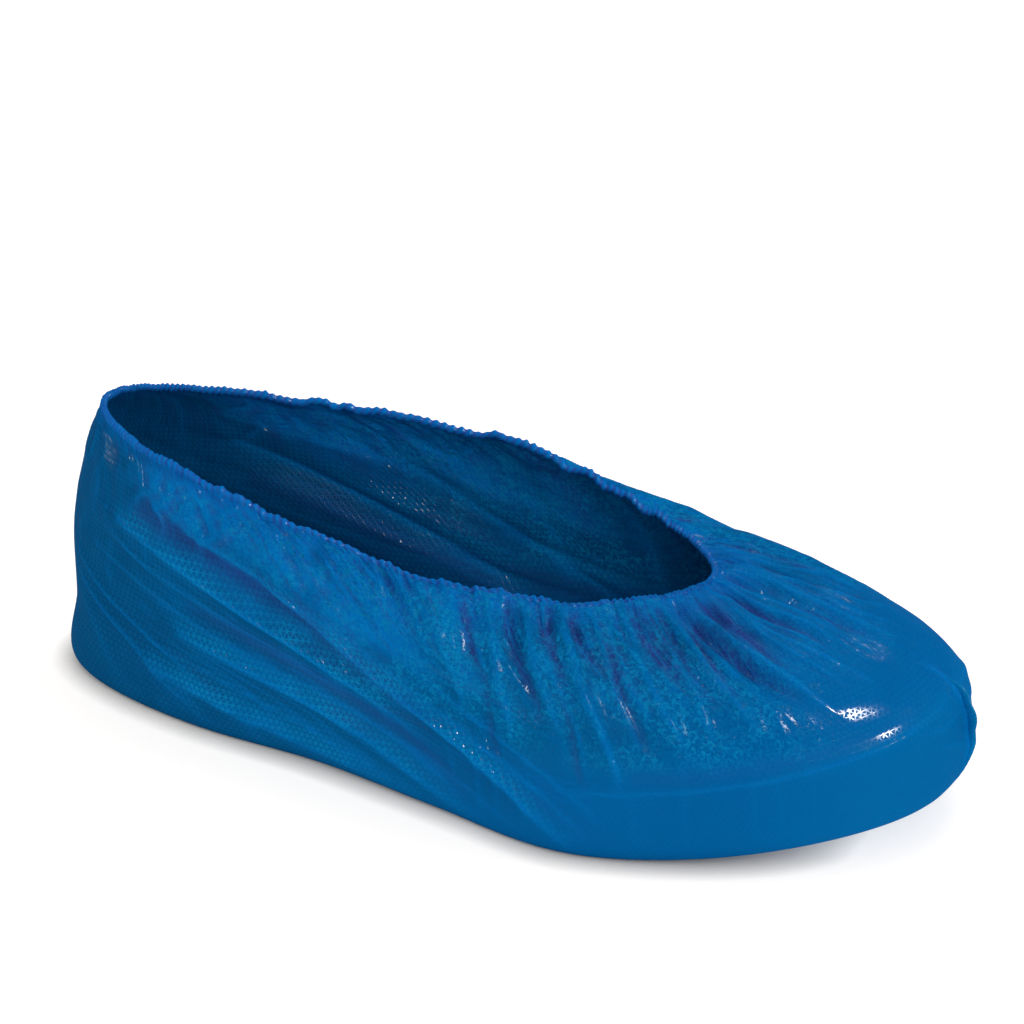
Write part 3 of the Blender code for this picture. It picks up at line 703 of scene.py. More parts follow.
def loose_layers(around, down):
    """1 where layers of film lie loose under the hem in front of the heel. Their lower edge is
    lapped over the film below: sharp near the heel, soft further forward."""
    from_heel = round_from_heel(around)
    edge = np.interp(from_heel, LAP_PLACES, LAP_DOWN)
    spread = 0.018 + 0.09 * soft_step(0.19, 0.26, from_heel)
    below = soft_step(edge - spread, edge + spread, down)
    return zone(from_heel, *LOOSE_ROUND) * soft_step(*LOOSE_DOWN, down) * (1 - below)


def film_sheet(sizes, around, rows):
    """One part of the film with its folds and gathers, each a move along the normal: its points,
    how far down they lie, and masks of crests, valleys, upper and lower flanks, small ridges and
    ribs."""
    down = np.tile(rows, (len(around), 1))
    points = base_film(sizes, around, down)
    normals = outward(points)
    folds, crest, valley, upper, lower = fold_field(sizes, points, normals, FOLDS)
    small_folds = [*CREASES, *loose_crinkles(sizes.seed + 100)]
    creases, crease_crest, crease_valley, _, _ = fold_field(sizes, points, normals, small_folds)
    held = soft_step(0.0, 0.035, down)
    fade = np.clip((UNDERSIDE_SHARE - down) / FLOOR_HOLD_SHARE, 0.0, 1.0)
    gathers, ribs = gather_field(sizes, around, down)
    drags = drag_field(sizes, around, down)
    calm = 1 - toe_cap(around, down)
    rise = held * (folds * (0.5 + 0.5 * calm) + creases + drags) + gathers * (0.1 + 0.9 * calm)
    rise = rise * fade
    points = points + normals * rise[..., None]
    points[..., 2] += hem_drift(sizes, around)[:, None] * (1 - soft_step(0.0, 0.10, down))
    points = hold_over_floor(sizes, points)
    crest = np.maximum(crest, crease_crest) * held * fade
    valley = np.maximum(valley, crease_valley) * held * fade
    small = np.clip(ridge_line(points, rise) / (0.35 * sizes.gather_depth), -1.0, 1.0)
    return points, down, (crest, valley, upper * fade, lower * fade, small, ribs)


def film_tint(sizes, colours, around, points, down, masks):
    """The film's colour at each point: colours laid one over another, each by its amount. Thin film
    is darker where it lies flat on what is inside and brighter where it lies in layers with air
    between. Painted light is laid in too: painted highlight on crests, small ridges, rib tops, the
    lit upper flanks and the toe's flank, and painted shade in valleys, small creases, between ribs
    and on the gentle lower flanks."""
    crest, valley, upper, lower, small, ribs = masks
    share = points[..., 0] / sizes.cover_length + 0.5
    from_heel = round_from_heel(around)
    drag = 1 - soft_step(*HEEL_DRAGS_END, from_heel)
    near_hem = 1 - soft_step(0.14, 0.42, down)
    rib = 0.45 * np.exp(-((down / 0.06) ** 2)) * np.clip(ribs, -1.0, 1.0)
    # Layers of film lie under the hem, most of all in front of the heel drags.
    depth = 0.10 + 0.34 * zone(from_heel, *LAYERS_ROUND)
    layers = 1 - soft_step(0.25 * depth, depth, down)
    layers = layers * (0.25 + 0.75 * soft_step(0.10, 0.20, from_heel))
    lit_toe_flank = soft_step(0.80, 0.97, share) * soft_step(0.45, 0.60, down)
    washes = (
        (colours.side, soft_step(0.12, 0.42, share + 0.10 * (0.5 - down))),
        (colours.toe, soft_step(0.62, 0.90, share)),
        (colours.band, soft_step(0.60, 0.72, down) * soft_step(0.42, 0.60, share)),
        # painted highlight on the toe's flank, where the light falls
        (colours.lit, 0.45 * lit_toe_flank),
        (colours.gather, layers),
        (colours.loose, 0.85 * loose_layers(around, down)),
        # painted highlight on the lit upper flanks of the drags, and painted shade in the heel's
        # colour on their gentle lower flanks
        (colours.lit, upper * (0.25 + 0.50 * drag)),
        (colours.heel, lower * (0.12 + 0.62 * drag)),
        # painted highlight on crests, small ridges and rib tops, and painted shade in valleys,
        # small creases and between ribs; partly film lifted in layers or lying on the dark inside
        (colours.crest, 0.80 * crest),
        (colours.crest, 0.50 * np.maximum(small, 0.0)),
        (colours.valley, valley * (0.22 + 0.64 * near_hem)),
        (colours.valley, np.maximum(-small, 0.0) * (0.10 + 0.30 * near_hem)),
        (colours.crest, np.maximum(rib, 0.0)),
        (colours.valley, np.maximum(-rib, 0.0)),
    )
    colour = np.broadcast_to(np.array(colours.heel), points.shape)
    for over, amount in washes:
        colour = colour + (np.array(over) - colour) * amount[..., None]
    return colour


def film_finish(sizes, around, points, down, masks):
    """How crushed the film is at each point, how plainly its embossing shows, and how much it is
    gathered and dragged, each from 0 to 1 as a product of zones."""
    crest, valley, upper = masks[:3]
    share = points[..., 0] / sizes.cover_length + 0.5
    from_heel = round_from_heel(around)
    cap = toe_cap(around, down)
    crushed = soft_step(0.16, 0.26, from_heel) * (1 - soft_step(0.50, 0.66, down))
    crushed = crushed * (1 - 0.72 * soft_step(0.395, 0.445, from_heel)) * (1 - 0.95 * cap)
    crushed = np.maximum(crushed, 0.30 * crest)
    crushed = np.maximum(crushed, 0.9 * loose_layers(around, down)) * (1 - 0.6 * valley)
    drag = 1 - soft_step(*HEEL_DRAGS_END, from_heel)
    band = soft_step(0.58, 0.66, down) * soft_step(0.36, 0.48, share)
    # The embossing shows most on the lit upper flanks of the heel drags and on crests, where its
    # pale lines are painted sheen; elsewhere it shapes the gloss.
    emboss_and_sheen = np.clip(0.20 - 0.14 * band + 1.20 * upper * drag + 0.25 * crest, 0.0, 1.0)
    gathered = (1 - soft_step(0.16, 0.50, down)) * (0.25 + 0.75 * soft_step(0.14, 0.26, from_heel))
    gathered = gathered * (1 - 0.9 * cap) * (1 - 0.40 * soft_step(0.40, 0.45, from_heel))
    dragged = zone(from_heel, *DRAG_CREASES_ROUND) * zone(down, *DRAG_CREASES_DOWN)
    return np.stack([crushed, emboss_and_sheen, gathered, 0.34 * dragged], axis=-1)


HEM_RING = 0.45
GATHER_FALL = 0.11


def film_runs(around, down):
    """Two sets of places in metres that the fine creases follow. The first lies on a cylinder as
    long round as the hem, turned with the gathers, and its height is the way down. The second
    runs across and along the drags of the heel."""
    start = 2 * math.pi * gather_way(around, down)
    radius = HEM_RING / (2 * math.pi)
    gather = [radius * np.cos(start), radius * np.sin(start), GATHER_FALL * down]
    from_heel = round_from_heel(around)
    across, along = from_heel - DRAG_SLANT * (down - 0.3), from_heel + 0.15 * down
    side = np.broadcast_to((around[:, None] > 0.5) * 0.3, down.shape)
    return np.stack(gather, axis=-1), np.stack([0.30 * across, 0.70 * along, side], axis=-1)


def ring_faces(rings, points, closed):
    """Quads of a closed row of rings with so many points each, whose rings are closed or not."""
    ring = np.arange(rings)[:, None] * points
    next_ring = (ring + points) % (rings * points)
    point = np.arange(points if closed else points - 1)
    after = (point + 1) % points
    corners = (ring + point, ring + after, next_ring + after, next_ring + point)
    return np.stack(corners, axis=-1).reshape(-1, 4)


def film_mesh(sizes, colours):
    """The film as one sheet: a fine collar, a strip of triangles that halves the columns, and the
    body down to the sole, whose last ring is closed by faces across it."""
    fine_around = film_columns(2 * sizes.columns)
    zones = []
    for around, rows in zip((fine_around, fine_around[::2]), film_rows()):
        points, down, masks = film_sheet(sizes, around, rows)
        grids = (
            points,
            film_tint(sizes, colours, around, points, down, masks),
            film_finish(sizes, around, points, down, masks),
            np.stack(film_lengths(sizes, around, down), axis=-1),
            *film_runs(around, down),
        )
        zones.append([grid.reshape(-1, grid.shape[-1]) for grid in grids])
    points, colour, finish, flat, *runs = (np.concatenate(parts) for parts in zip(*zones))

    columns = sizes.columns
    fine, body = (len(rows) for rows in film_rows())
    first_body = 2 * columns * fine
    step = np.arange(columns)
    collar = (2 * step * fine, (2 * step + 1) * fine, (2 * step + 2) % (2 * columns) * fine)
    lead, middle, after = (place + fine - 1 for place in collar)
    low, next_low = first_body + step * body, first_body + (step + 1) % columns * body

    def last_ring(column):
        """The points of the last ring in the columns given."""
        return first_body + column % columns * body + body - 1

    half = columns // 2
    near = np.arange(1, half - 1)
    sole = np.stack([near, near + 1, columns - near - 1, columns - near], axis=-1)
    ends = np.array([[0, 1, columns - 1], [half, half + 1, half - 1]])
    quads = [ring_faces(2 * columns, fine, False), first_body + ring_faces(columns, body, False),
             last_ring(sole)[:, ::-1]]
    triangles = [np.stack(corners, axis=-1) for corners in (
        (lead, low, middle), (middle, low, next_low), (middle, next_low, after))]
    triangles.append(last_ring(ends)[:, ::-1])
    faces = np.concatenate(quads).tolist() + np.concatenate(triangles).tolist()
    return points, faces, colour, finish, flat, runs


def new_piece(name, points, faces, material):
    """A smooth-shaded object of its own at the origin, with its place in its mesh."""
    mesh = bpy.data.meshes.new(name)
    mesh.from_pydata(np.asarray(points).tolist(), [], faces)
    mesh.validate()
    mesh.shade_smooth()
    piece = bpy.data.objects.new(name, mesh)
    bpy.context.scene.collection.objects.link(piece)
    mesh.materials.append(material)
    return piece


def store(piece, colour, finish, flat, runs=()):
    """Keeps the tint and the four finish values of each point, the flat measures as a UV map, and
    the places that the fine creases follow."""
    mesh = piece.data
    tint = mesh.color_attributes.new("film_tint", "FLOAT_COLOR", "POINT")
    tint.data.foreach_set("color", np.column_stack([colour, np.ones(len(colour))]).ravel())
    for column, name in enumerate(("crushed", "emboss_and_sheen", "gathered", "dragged")):
        amount = mesh.attributes.new(name, "FLOAT", "POINT")
        amount.data.foreach_set("value", np.ascontiguousarray(finish[:, column], dtype=np.float32))
    for name, run in zip(("gather_run", "drag_run"), runs):
        places = mesh.attributes.new(name, "FLOAT_VECTOR", "POINT")
        places.data.foreach_set("vector", np.ascontiguousarray(run, dtype=np.float32).ravel())
    corner = np.empty(len(mesh.loops), np.int32)
    mesh.loops.foreach_get("vertex_index", corner)
    layer = mesh.uv_layers.new(name="flat_film")
    layer.data.foreach_set("uv", np.ascontiguousarray(flat[corner], dtype=np.float32).ravel())


# Materials

# Real sizes of the film's patterns in millimetres, from one to the next
FACET_MM = 1.613
CRUMPLE_MM = 1.515
PATCH_MM = 11.76
LAYER_MM = 4.0
GLINT_MM = 4.167
GATHER_CREASE_MM = 2.5
DRAG_CREASE_MM = 8.696

# Levels of a wave or a noise between which its pattern comes up
LINE_LEVELS = (0.66, 0.98)
STAR_LEVELS = (-2.8, 0.2)
PIT_LEVEL = 0.78
PIT_GAIN = 6.5
PIT_DEPTH = 2.6  # in emboss depths
SHEEN_FLECK_LEVELS = (0.48, 0.60)
PATCH_LEVELS = (0.30, 0.62)
GLINT_LEVELS = (0.62, 0.70)

FILM_IOR = 1.5
WRINKLE_DEPTH = 0.0008
# The smooth outer skin is a thin coat, which crushed film loses nearly all of.
SKIN_GLOSS = 0.018
SKIN_GLOSS_LOST = 0.016
SKIN_ROUGHNESS = 0.12


def add_node(tree, kind, inputs=(), output=0, **settings):
    """Adds a node and gives one of its outputs. inputs holds values, or outputs of other nodes to
    link, in the order of the node's sockets or by the names of its sockets."""
    node = tree.nodes.new("ShaderNode" + kind)
    for name, value in settings.items():
        setattr(node, name, value)
    for socket, value in inputs.items() if isinstance(inputs, dict) else enumerate(inputs):
        if isinstance(value, bpy.types.NodeSocket):
            tree.links.new(value, node.inputs[socket])
        else:
            node.inputs[socket].default_value = value
    return node.outputs[output]


def star_pattern(add, pitch):
    """Stars at the crossings of three sets of lines at 60 degrees. A line is the top of a cosine
    of the film's flat measures, and it fades where the sum of the three cosines is low. Gives
    the stars, and the film between its pits as the greatest of the three cosines."""
    flat = add("UVMap", uv_map="flat_film")
    # Rows of the pattern lie half a pitch times the root of three apart.
    turn = 2 * math.pi / (pitch * math.sqrt(3) / 2)
    waves, lines = [], []
    for across, along in ((0.0, 1.0), (math.sqrt(3) / 2, -0.5), (math.sqrt(3) / 2, 0.5)):
        way = add("VectorMath", (flat, (across * turn, along * turn, 0.0)), "Value",
                  operation="DOT_PRODUCT")
        waves.append(add("Math", (way,), operation="COSINE"))
        lines.append(add("MapRange", (waves[-1], *LINE_LEVELS), interpolation_type="SMOOTHSTEP"))
    line = add("Math", lines[:2], operation="MAXIMUM")
    line = add("Math", (line, lines[2]), operation="MAXIMUM")
    near = add("Math", waves[:2], operation="ADD")
    near = add("Math", (near, waves[2]), operation="ADD")
    arms = add("MapRange", (near, *STAR_LEVELS), interpolation_type="SMOOTHSTEP")
    land = add("Math", waves[:2], operation="MAXIMUM")
    land = add("Math", (land, waves[2]), operation="MAXIMUM")
    land = add("Math", (land, PIT_LEVEL), operation="MINIMUM")
    return add("Math", (line, arms), operation="MULTIPLY"), land


def lay_over(add, under, over, where, mask, share):
    """A colour laid over another by a mask times a second mask times a share."""
    amount = add("Math", (where, mask), operation="MULTIPLY")
    amount = add("Math", (amount, share), operation="MULTIPLY")
    return add("Mix", {"Factor": amount, 6: under, 7: (*over, 1.0)}, 2, data_type="RGBA")


def fine_creases(add, colours, colour, crease_depth):
    """Fine creases over a colour, and their bump: the middle of a noise drawn out along the gathers
    or the drags is a crest, painted lighter as a highlight, and its top is a valley, painted darker
    as shade. They are 1 to 3 mm apart and 10 to 30 mm long."""
    bump = {}
    for run, mask, size, stretch, edge in (
        ("gather_run", "gathered", GATHER_CREASE_MM, (1.0, 1.0, 0.05), 0.035),
        ("drag_run", "dragged", DRAG_CREASE_MM, (1.0, 0.12, 1.0), 0.060),
    ):
        shown = add("Attribute", output="Fac", attribute_name=mask)
        way = add("Attribute", output="Vector", attribute_name=run)
        way = add("VectorMath", (way, stretch), operation="MULTIPLY")
        noise = add("TexNoise", {"Vector": way, "Scale": 1000 / size, "Detail": 2.0,
                                 "Roughness": 0.55})
        off_crest = add("Math", (noise, 0.5), operation="SUBTRACT")
        off_crest = add("Math", (off_crest,), operation="ABSOLUTE")
        crest = add("MapRange", (off_crest, 0.0, edge, 1.0, 0.0), interpolation_type="SMOOTHSTEP")
        valley = add("MapRange", (noise, 0.58, 0.72), interpolation_type="SMOOTHSTEP")
        colour = lay_over(add, colour, colours.crest, crest, shown, 0.75)
        colour = lay_over(add, colour, colours.valley, valley, shown, 0.50)
        ridge = add("MapRange", (off_crest, 0.0, 0.20, 1.0, 0.0))
        height = add("Math", (ridge, shown), operation="MULTIPLY")
        bump = {"Normal": add("Bump", {"Height": height, "Strength": 0.9,
                                       "Distance": crease_depth, **bump})}
    return colour, bump


def film_gloss(add, shader, land, plain, crushed, crush_height, emboss_depth, crush_depth):
    """The smooth outer skin of the film. It follows the embossing, whose lines stand flat between
    pits, so a lamp's mirror image shows as stars. Crushed film breaks that image up, and a few
    of its facets glint."""
    shown = add("Math", (plain, PIT_GAIN), operation="MULTIPLY", use_clamp=True)
    pits = add("Math", (land, shown), operation="MULTIPLY")
    bump = add("Bump", {"Height": pits, "Strength": 1.0, "Distance": PIT_DEPTH * emboss_depth})
    rare = add("TexNoise", {"Vector": add("TexCoord", output="Object"), "Scale": 1000 / GLINT_MM,
                            "Detail": 1.0, "Roughness": 0.5})
    rare = add("MapRange", (rare, *GLINT_LEVELS), interpolation_type="SMOOTHSTEP")
    glint = add("Math", (crush_height, rare), operation="MULTIPLY")
    bump = add("Bump", {"Height": glint, "Strength": 1.0, "Distance": crush_depth, "Normal": bump})
    kept = add("Math", (rare, 0.5), operation="MULTIPLY")
    kept = add("Math", (1.0, kept), operation="SUBTRACT")
    dull = add("Math", (crushed, kept), operation="MULTIPLY")
    dull = add("Math", (dull, SKIN_GLOSS_LOST), operation="MULTIPLY")
    skin = add("Math", (SKIN_GLOSS, dull), operation="SUBTRACT")
    links = shader.id_data.links
    links.new(bump, shader.inputs["Coat Normal"])
    links.new(skin, shader.inputs["Coat Weight"])
    shader.inputs["Coat Roughness"].default_value = SKIN_ROUGHNESS


def embossed_film(name, pitch, colours, roughness, emboss_depth, crush_depth, crease_depth=0.0):
    """Chlorinated polyethylene film, cast and embossed by a roller with small stars.

    It gives the eye a soft, slightly glossy film: stars where it is drawn tight, pale as painted
    sheen and glossy, small facets with painted sheen and thin glints where it is crushed, and fine
    creases with painted highlight and shade where it is gathered.
    """
    material = bpy.data.materials.new(name)
    material.use_nodes = True
    material.use_backface_culling = False
    tree = material.node_tree
    shader = tree.nodes["Principled BSDF"]
    add = partial(add_node, tree)

    tint = add("Attribute", output="Color", attribute_name="film_tint")
    crushed = add("Attribute", output="Fac", attribute_name="crushed")
    plain = add("Attribute", output="Fac", attribute_name="emboss_and_sheen")
    place = add("TexCoord", output="Object")
    star, land = star_pattern(add, pitch)

    # Crushed facets are 1 to 2 mm across; a slow change over 12 mm keeps them uneven.
    facets = add("TexVoronoi", {"Vector": place, "Scale": 1000 / FACET_MM, "Randomness": 1.0},
                 feature="F1", distance="EUCLIDEAN")
    crumple = add("TexNoise", {"Vector": place, "Scale": 1000 / CRUMPLE_MM, "Detail": 3.0,
                               "Roughness": 0.62, "Distortion": 1.2})
    uneven = add("TexNoise", {"Vector": place, "Scale": 1000 / PATCH_MM, "Detail": 2.0,
                              "Roughness": 0.5})
    # Painted sheen: pale specks on crushed facets and pale star lines where the embossing shows,
    # laid over the tint below.
    sheen_flecks = add("MapRange", (crumple, *SHEEN_FLECK_LEVELS), interpolation_type="SMOOTHSTEP")
    patch = add("MapRange", (uneven, *PATCH_LEVELS), interpolation_type="SMOOTHSTEP")
    sheen_flecks = add("Math", (sheen_flecks, patch), operation="MULTIPLY")
    sheen_flecks = add("Math", (sheen_flecks, crushed), operation="MULTIPLY")
    star_share = add("Math", (patch, 0.45), operation="MULTIPLY")
    star_share = add("Math", (star_share, 0.50), operation="ADD")
    stars = add("Math", (star, plain), operation="MULTIPLY")
    stars = add("Math", (stars, star_share), operation="MULTIPLY")
    painted_sheen = add("Math", (sheen_flecks, 0.82), operation="MULTIPLY")
    painted_sheen = add("Math", (painted_sheen, stars), operation="ADD", use_clamp=True)

    colour, crease_bump = tint, {}
    if crease_depth:
        colour, crease_bump = fine_creases(add, colours, colour, crease_depth)
        # Loose layers under the hem get painted highlight and painted shade in patches, and painted
        # sheen on their crumpled facets.
        loose = add("Attribute", output="Fac", attribute_name="gathered")
        layers = add("TexNoise", {"Vector": place, "Scale": 1000 / LAYER_MM, "Detail": 2.0,
                                  "Roughness": 0.6, "Distortion": 1.6})
        crumpled = add("Math", (loose, crushed), operation="MULTIPLY")
        for noise, low, high, over, share, where in (
            (uneven, 0.50, 0.68, colours.crest, 0.55, loose),
            (uneven, 0.50, 0.32, colours.side, 0.45, loose),
            (layers, 0.54, 0.62, colours.lit_fleck, 0.72, crumpled),
            (layers, 0.44, 0.36, colours.side, 0.36, crumpled),
        ):
            shown = add("MapRange", (noise, low, high), interpolation_type="SMOOTHSTEP")
            colour = lay_over(add, colour, over, shown, where, share)
    # The painted sheen is laid over the film's colour here.
    colour = add("Mix", {"Factor": painted_sheen, 6: colour, 7: (*colours.lit_fleck, 1.0)}, 2,
                 data_type="RGBA")
    tree.links.new(colour, shader.inputs["Base Color"])

    # The body of the film is shaded by its creases, its crushed facets and slow wrinkles.
    crush_height = add("Math", (facets, 0.55), operation="MULTIPLY")
    crush_height = add("Math", (crumple, crush_height), operation="ADD")
    crush_height = add("Math", (crush_height, crushed), operation="MULTIPLY")
    bump = add("Bump", {"Height": crush_height, "Strength": 0.75, "Distance": crush_depth,
                        **crease_bump})
    for height, strength, distance in ((uneven, 0.5, WRINKLE_DEPTH), (star, 1.0, emboss_depth)):
        bump = add("Bump", {"Height": height, "Strength": strength, "Distance": distance,
                            "Normal": bump})
    tree.links.new(bump, shader.inputs["Normal"])
    film_gloss(add, shader, land, plain, crushed, crush_height, emboss_depth, crush_depth)
    shader.inputs["Roughness"].default_value = roughness
    shader.inputs["IOR"].default_value = FILM_IOR
    # Nearly all the gloss is the outer skin's, so the body has none.
    shader.inputs["Specular IOR Level"].default_value = 0.0
    return material


FLOOR_GLOW = 0.66
FLOOR_SHADOW_REACH = 0.008
FLOOR_SHADOW_POWER = 1.5


def matt_floor(colour):
    """Matt white paper with no gloss. It glows as a packshot table lit from below would, which is
    painted light, and the glowing fades within 8 mm of what stands on it into a soft painted
    shadow."""
    material = bpy.data.materials.new("matt_paper_floor")
    material.use_nodes = True
    tree = material.node_tree
    shader = tree.nodes["Principled BSDF"]
    shader.inputs["Base Color"].default_value = (*colour, 1.0)
    shader.inputs["Roughness"].default_value = 0.95
    shader.inputs["Specular IOR Level"].default_value = 0.0
    shader.inputs["Emission Color"].default_value = (1.0, 1.0, 1.0, 1.0)
    add = partial(add_node, tree)
    # Painted shadow: the floor's glowing fades where the occlusion finds the film within 8 mm.
    open_air = add("AmbientOcclusion", {"Distance": FLOOR_SHADOW_REACH}, "AO", samples=2)
    painted_glow = add("Math", (open_air, FLOOR_SHADOW_POWER), operation="POWER")
    painted_glow = add("Math", (painted_glow, FLOOR_GLOW), operation="MULTIPLY")
    tree.links.new(painted_glow, shader.inputs["Emission Strength"])
    return material


# Pieces


class SHOECOVER_OT_film(bpy.types.Operator):
    """Adds the film bag as one fine gathered sheet"""

    bl_idname = "shoe_cover.film"
    bl_label = "Film Cover"

    def execute(self, context):
        sizes, colours = context.scene.shoe_cover_sizes, context.scene.shoe_cover_colours
        points, faces, colour, finish, flat, runs = film_mesh(sizes, colours)
        material = embossed_film(
            "embossed_polyethylene_film", sizes.emboss_pitch, colours, roughness=0.45,
            emboss_depth=0.00010, crush_depth=0.00100, crease_depth=0.00045,
        )
        piece = new_piece("film_sheet", points, faces, material)
        store(piece, colour, finish, flat, runs)
        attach(piece, "root")
        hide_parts("film_cover")
        return {"FINISHED"}


def hem_points(sizes, steps, sides):
    """A tube along the hem: its radius swells with each small bunch of film, and its middle moves
    with the film's own gathers."""
    around = np.arange(steps) / steps
    pair = base_film(sizes, around, np.tile((0.0, 0.01), (steps, 1)))
    path = pair[:, 0]
    run = np.roll(path, -1, axis=0) - np.roll(path, 1, axis=0)
    normal = outward(pair)[:, 0]
    upward = np.cross(normal, run)
    upward /= np.linalg.norm(upward, axis=-1, keepdims=True) * np.sign(upward[:, 2:])
    top = np.zeros((steps, 1))
    shift = gather_field(sizes, around, top)[0]
    turn = 2 * math.pi * np.arange(sides) / sides
    slow = ripple(around[:, None], top, 60, 1, sizes.seed + 40)
    ribs = hem_ribs(sizes, around[:, None] + 0.0012 * np.sin(turn), np.zeros((steps, sides)))
    radius = sizes.roll_radius * (0.74 + 0.08 * slow + 0.24 * ribs)
    middle = path + normal * (shift - HEM_SINK) * HEM_FOLLOWS
    middle[:, 2] += hem_drift(sizes, around)
    ring = (
        normal[:, None] * (np.cos(turn) * radius)[..., None]
        + upward[:, None] * (np.sin(turn) * radius * 1.05)[..., None]
    )
    return middle[:, None] + ring, around, turn, ribs


# The same finish all over the hem: crushed, embossed, gathered and dragged, each from 0 to 1
HEM_FINISH = (0.35, 0.1, 0.0, 0.0)


class SHOECOVER_OT_elastic_hem(bpy.types.Operator):
    """Adds the bunched roll of film that holds the elastic thread"""

    bl_idname = "shoe_cover.elastic_hem"
    bl_label = "Elastic Hem"

    def execute(self, context):
        sizes, colours = context.scene.shoe_cover_sizes, context.scene.shoe_cover_colours
        steps, sides = 4 * HEM_HALF_RIBS, HEM_SIDES
        points, around, turn, ribs = hem_points(sizes, steps, sides)
        # Each ring runs from its outer side up over the hem, so its faces are turned round.
        faces = ring_faces(steps, sides, True)[:, ::-1]
        material = embossed_film(
            "bunched_polyethylene_film", sizes.emboss_pitch, colours, roughness=0.45,
            emboss_depth=0.00004, crush_depth=0.00050,
        )
        piece = new_piece("gathered_hem", points.reshape(-1, 3), faces.tolist(), material)
        # Painted highlight on the tops of the hem's ribs and painted shade between them, mixed with
        # the gathered film's colour.
        share = soft_step(-0.6, 0.6, ribs.reshape(-1, 1))
        colour = np.array(colours.valley) * (1 - share) + np.array(colours.crest) * share
        colour = 0.55 * colour + 0.45 * np.array(colours.gather)
        length = np.linalg.norm(np.diff(points.mean(axis=1), axis=0), axis=-1).sum()
        flat = np.stack([np.repeat(around * length, sides),
                         np.tile(turn * sizes.roll_radius, steps)], axis=-1)
        store(piece, colour, np.full((len(colour), 4), HEM_FINISH), flat)
        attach(piece, "root")
        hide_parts("elastic_hem")
        return {"FINISHED"}


WELD_TOP_SHARE = 0.47
WELD_LOW_SHARE = 0.86
WELD_WALL = 0.0005
WELD_LENGTH = 0.045
WELD_TEETH = 30
WELD_TOOTH_HEIGHT = 0.00007
WELD_FINISH = (0.25, 0.2, 0.0, 0.0)


def weld_points(sizes, steps, out_steps):
    """A fin down the toe: it stands off along the film's normal by a depth that swells and fades,
    waves sideways towards its edge and is crimped by fine teeth."""
    step = np.linspace(0.0, 1.0, steps)
    down = WELD_TOP_SHARE + (WELD_LOW_SHARE - WELD_TOP_SHARE) * step
    film = base_film(sizes, np.array([0.497, 0.5, 0.503]), np.tile(down, (3, 1)))
    normal = np.cross(np.gradient(film[1], axis=0), film[2] - film[0])
    normal /= np.linalg.norm(normal, axis=-1, keepdims=True)
    if normal[:, 0].mean() < 0:
        normal = -normal
    swell = np.sin(math.pi * step**1.25) ** 0.7
    depth = sizes.weld_depth * (0.12 + 0.95 * swell) * (1 - step**6)
    uneven = ripple(step[:, None], np.zeros((steps, 1)), 9, 1, sizes.seed + 60)[:, 0]
    depth = depth * (1 + 0.10 * uneven)
    out = np.linspace(0.0, 1.0, out_steps)
    points = film[1][:, None] + normal[:, None] * (depth[:, None] * out)[..., None]
    wave = 0.0012 * np.sin(3 * math.pi * step) + 0.0005 * np.sin(8 * math.pi * step + 1.0)
    teeth = WELD_TOOTH_HEIGHT * np.sin(2 * math.pi * WELD_TEETH * step)
    points[..., 1] += wave[:, None] * out**1.5 + teeth[:, None] * out
    return points, step, out, depth


class SHOECOVER_OT_toe_weld(bpy.types.Operator):
    """Adds the crimped fin where the film is welded at the toe"""

    bl_idname = "shoe_cover.toe_weld"
    bl_label = "Toe Weld"

    def execute(self, context):
        sizes, colours = context.scene.shoe_cover_sizes, context.scene.shoe_cover_colours
        steps, out_steps = 220, 14
        points, step, out, depth = weld_points(sizes, steps, out_steps)
        a = np.arange(steps - 1)[:, None] * out_steps + np.arange(out_steps - 1)
        faces = np.stack([a, a + 1, a + out_steps + 1, a + out_steps], axis=-1).reshape(-1, 4)
        material = embossed_film(
            "welded_polyethylene_film", sizes.emboss_pitch, colours, roughness=0.40,
            emboss_depth=0.00008, crush_depth=0.00050,
        )
        piece = new_piece("crimped_weld", points.reshape(-1, 3), faces.tolist(), material)
        # Painted light: the fin is paler towards its edge, as if light shone through the thin film
        # there.
        edge = np.tile(soft_step(0.55, 1.0, out), steps)[:, None]
        colour = np.array(colours.toe) * (1 - 0.6 * edge) + np.array(colours.lit_fleck) * 0.6 * edge
        flat = np.stack([np.repeat(step * WELD_LENGTH, out_steps),
                         (depth[:, None] * out).ravel()], axis=-1)
        store(piece, colour, np.full((len(colour), 4), WELD_FINISH), flat)
        wall = piece.modifiers.new("two_layers", "SOLIDIFY")
        wall.thickness = WELD_WALL
        wall.offset = 0.0
        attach(piece, "root")
        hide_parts("toe_weld")
        return {"FINISHED"}


# Stage

CAMERA_AZIMUTH = 25.0
CAMERA_ELEVATION = 28.0
CAMERA_DISTANCE = 1.450
CAMERA_TARGET = (0.003, 0.0, -0.0012)
CAMERA_OFFSET = (-0.000915, 0.0689)  # of the picture's middle from the target, right and up
CAMERA_LENS = 167.2

FLOOR_HALF_SIDE = 3.0
# The floor lies just under the film, so that the two surfaces never lie in each other.
FLOOR_GAP = 0.0003
WORLD_STRENGTH = 0.72
Softbox = namedtuple("Softbox", "name place aim size power")
SOFTBOXES = (
    Softbox("front_softbox", (1.0, -0.9, 1.0), (0.03, 0.0, 0.03), 0.9, 5.2),
    Softbox("top_softbox", (0.2, 0.5, 1.2), (0.0, 0.0, 0.03), 0.7, 3.6),
)
# Where the toe cap mirrors the key light: three places round the film, and three down it
MIRROR_AROUND = (0.430, 0.433, 0.436)
MIRROR_DOWN = (0.465, 0.475, 0.485)
KEY_DISTANCE = 1.2
KEY_WIDTH = 0.18
KEY_HEIGHT = 0.40
KEY_POWER = 455.0


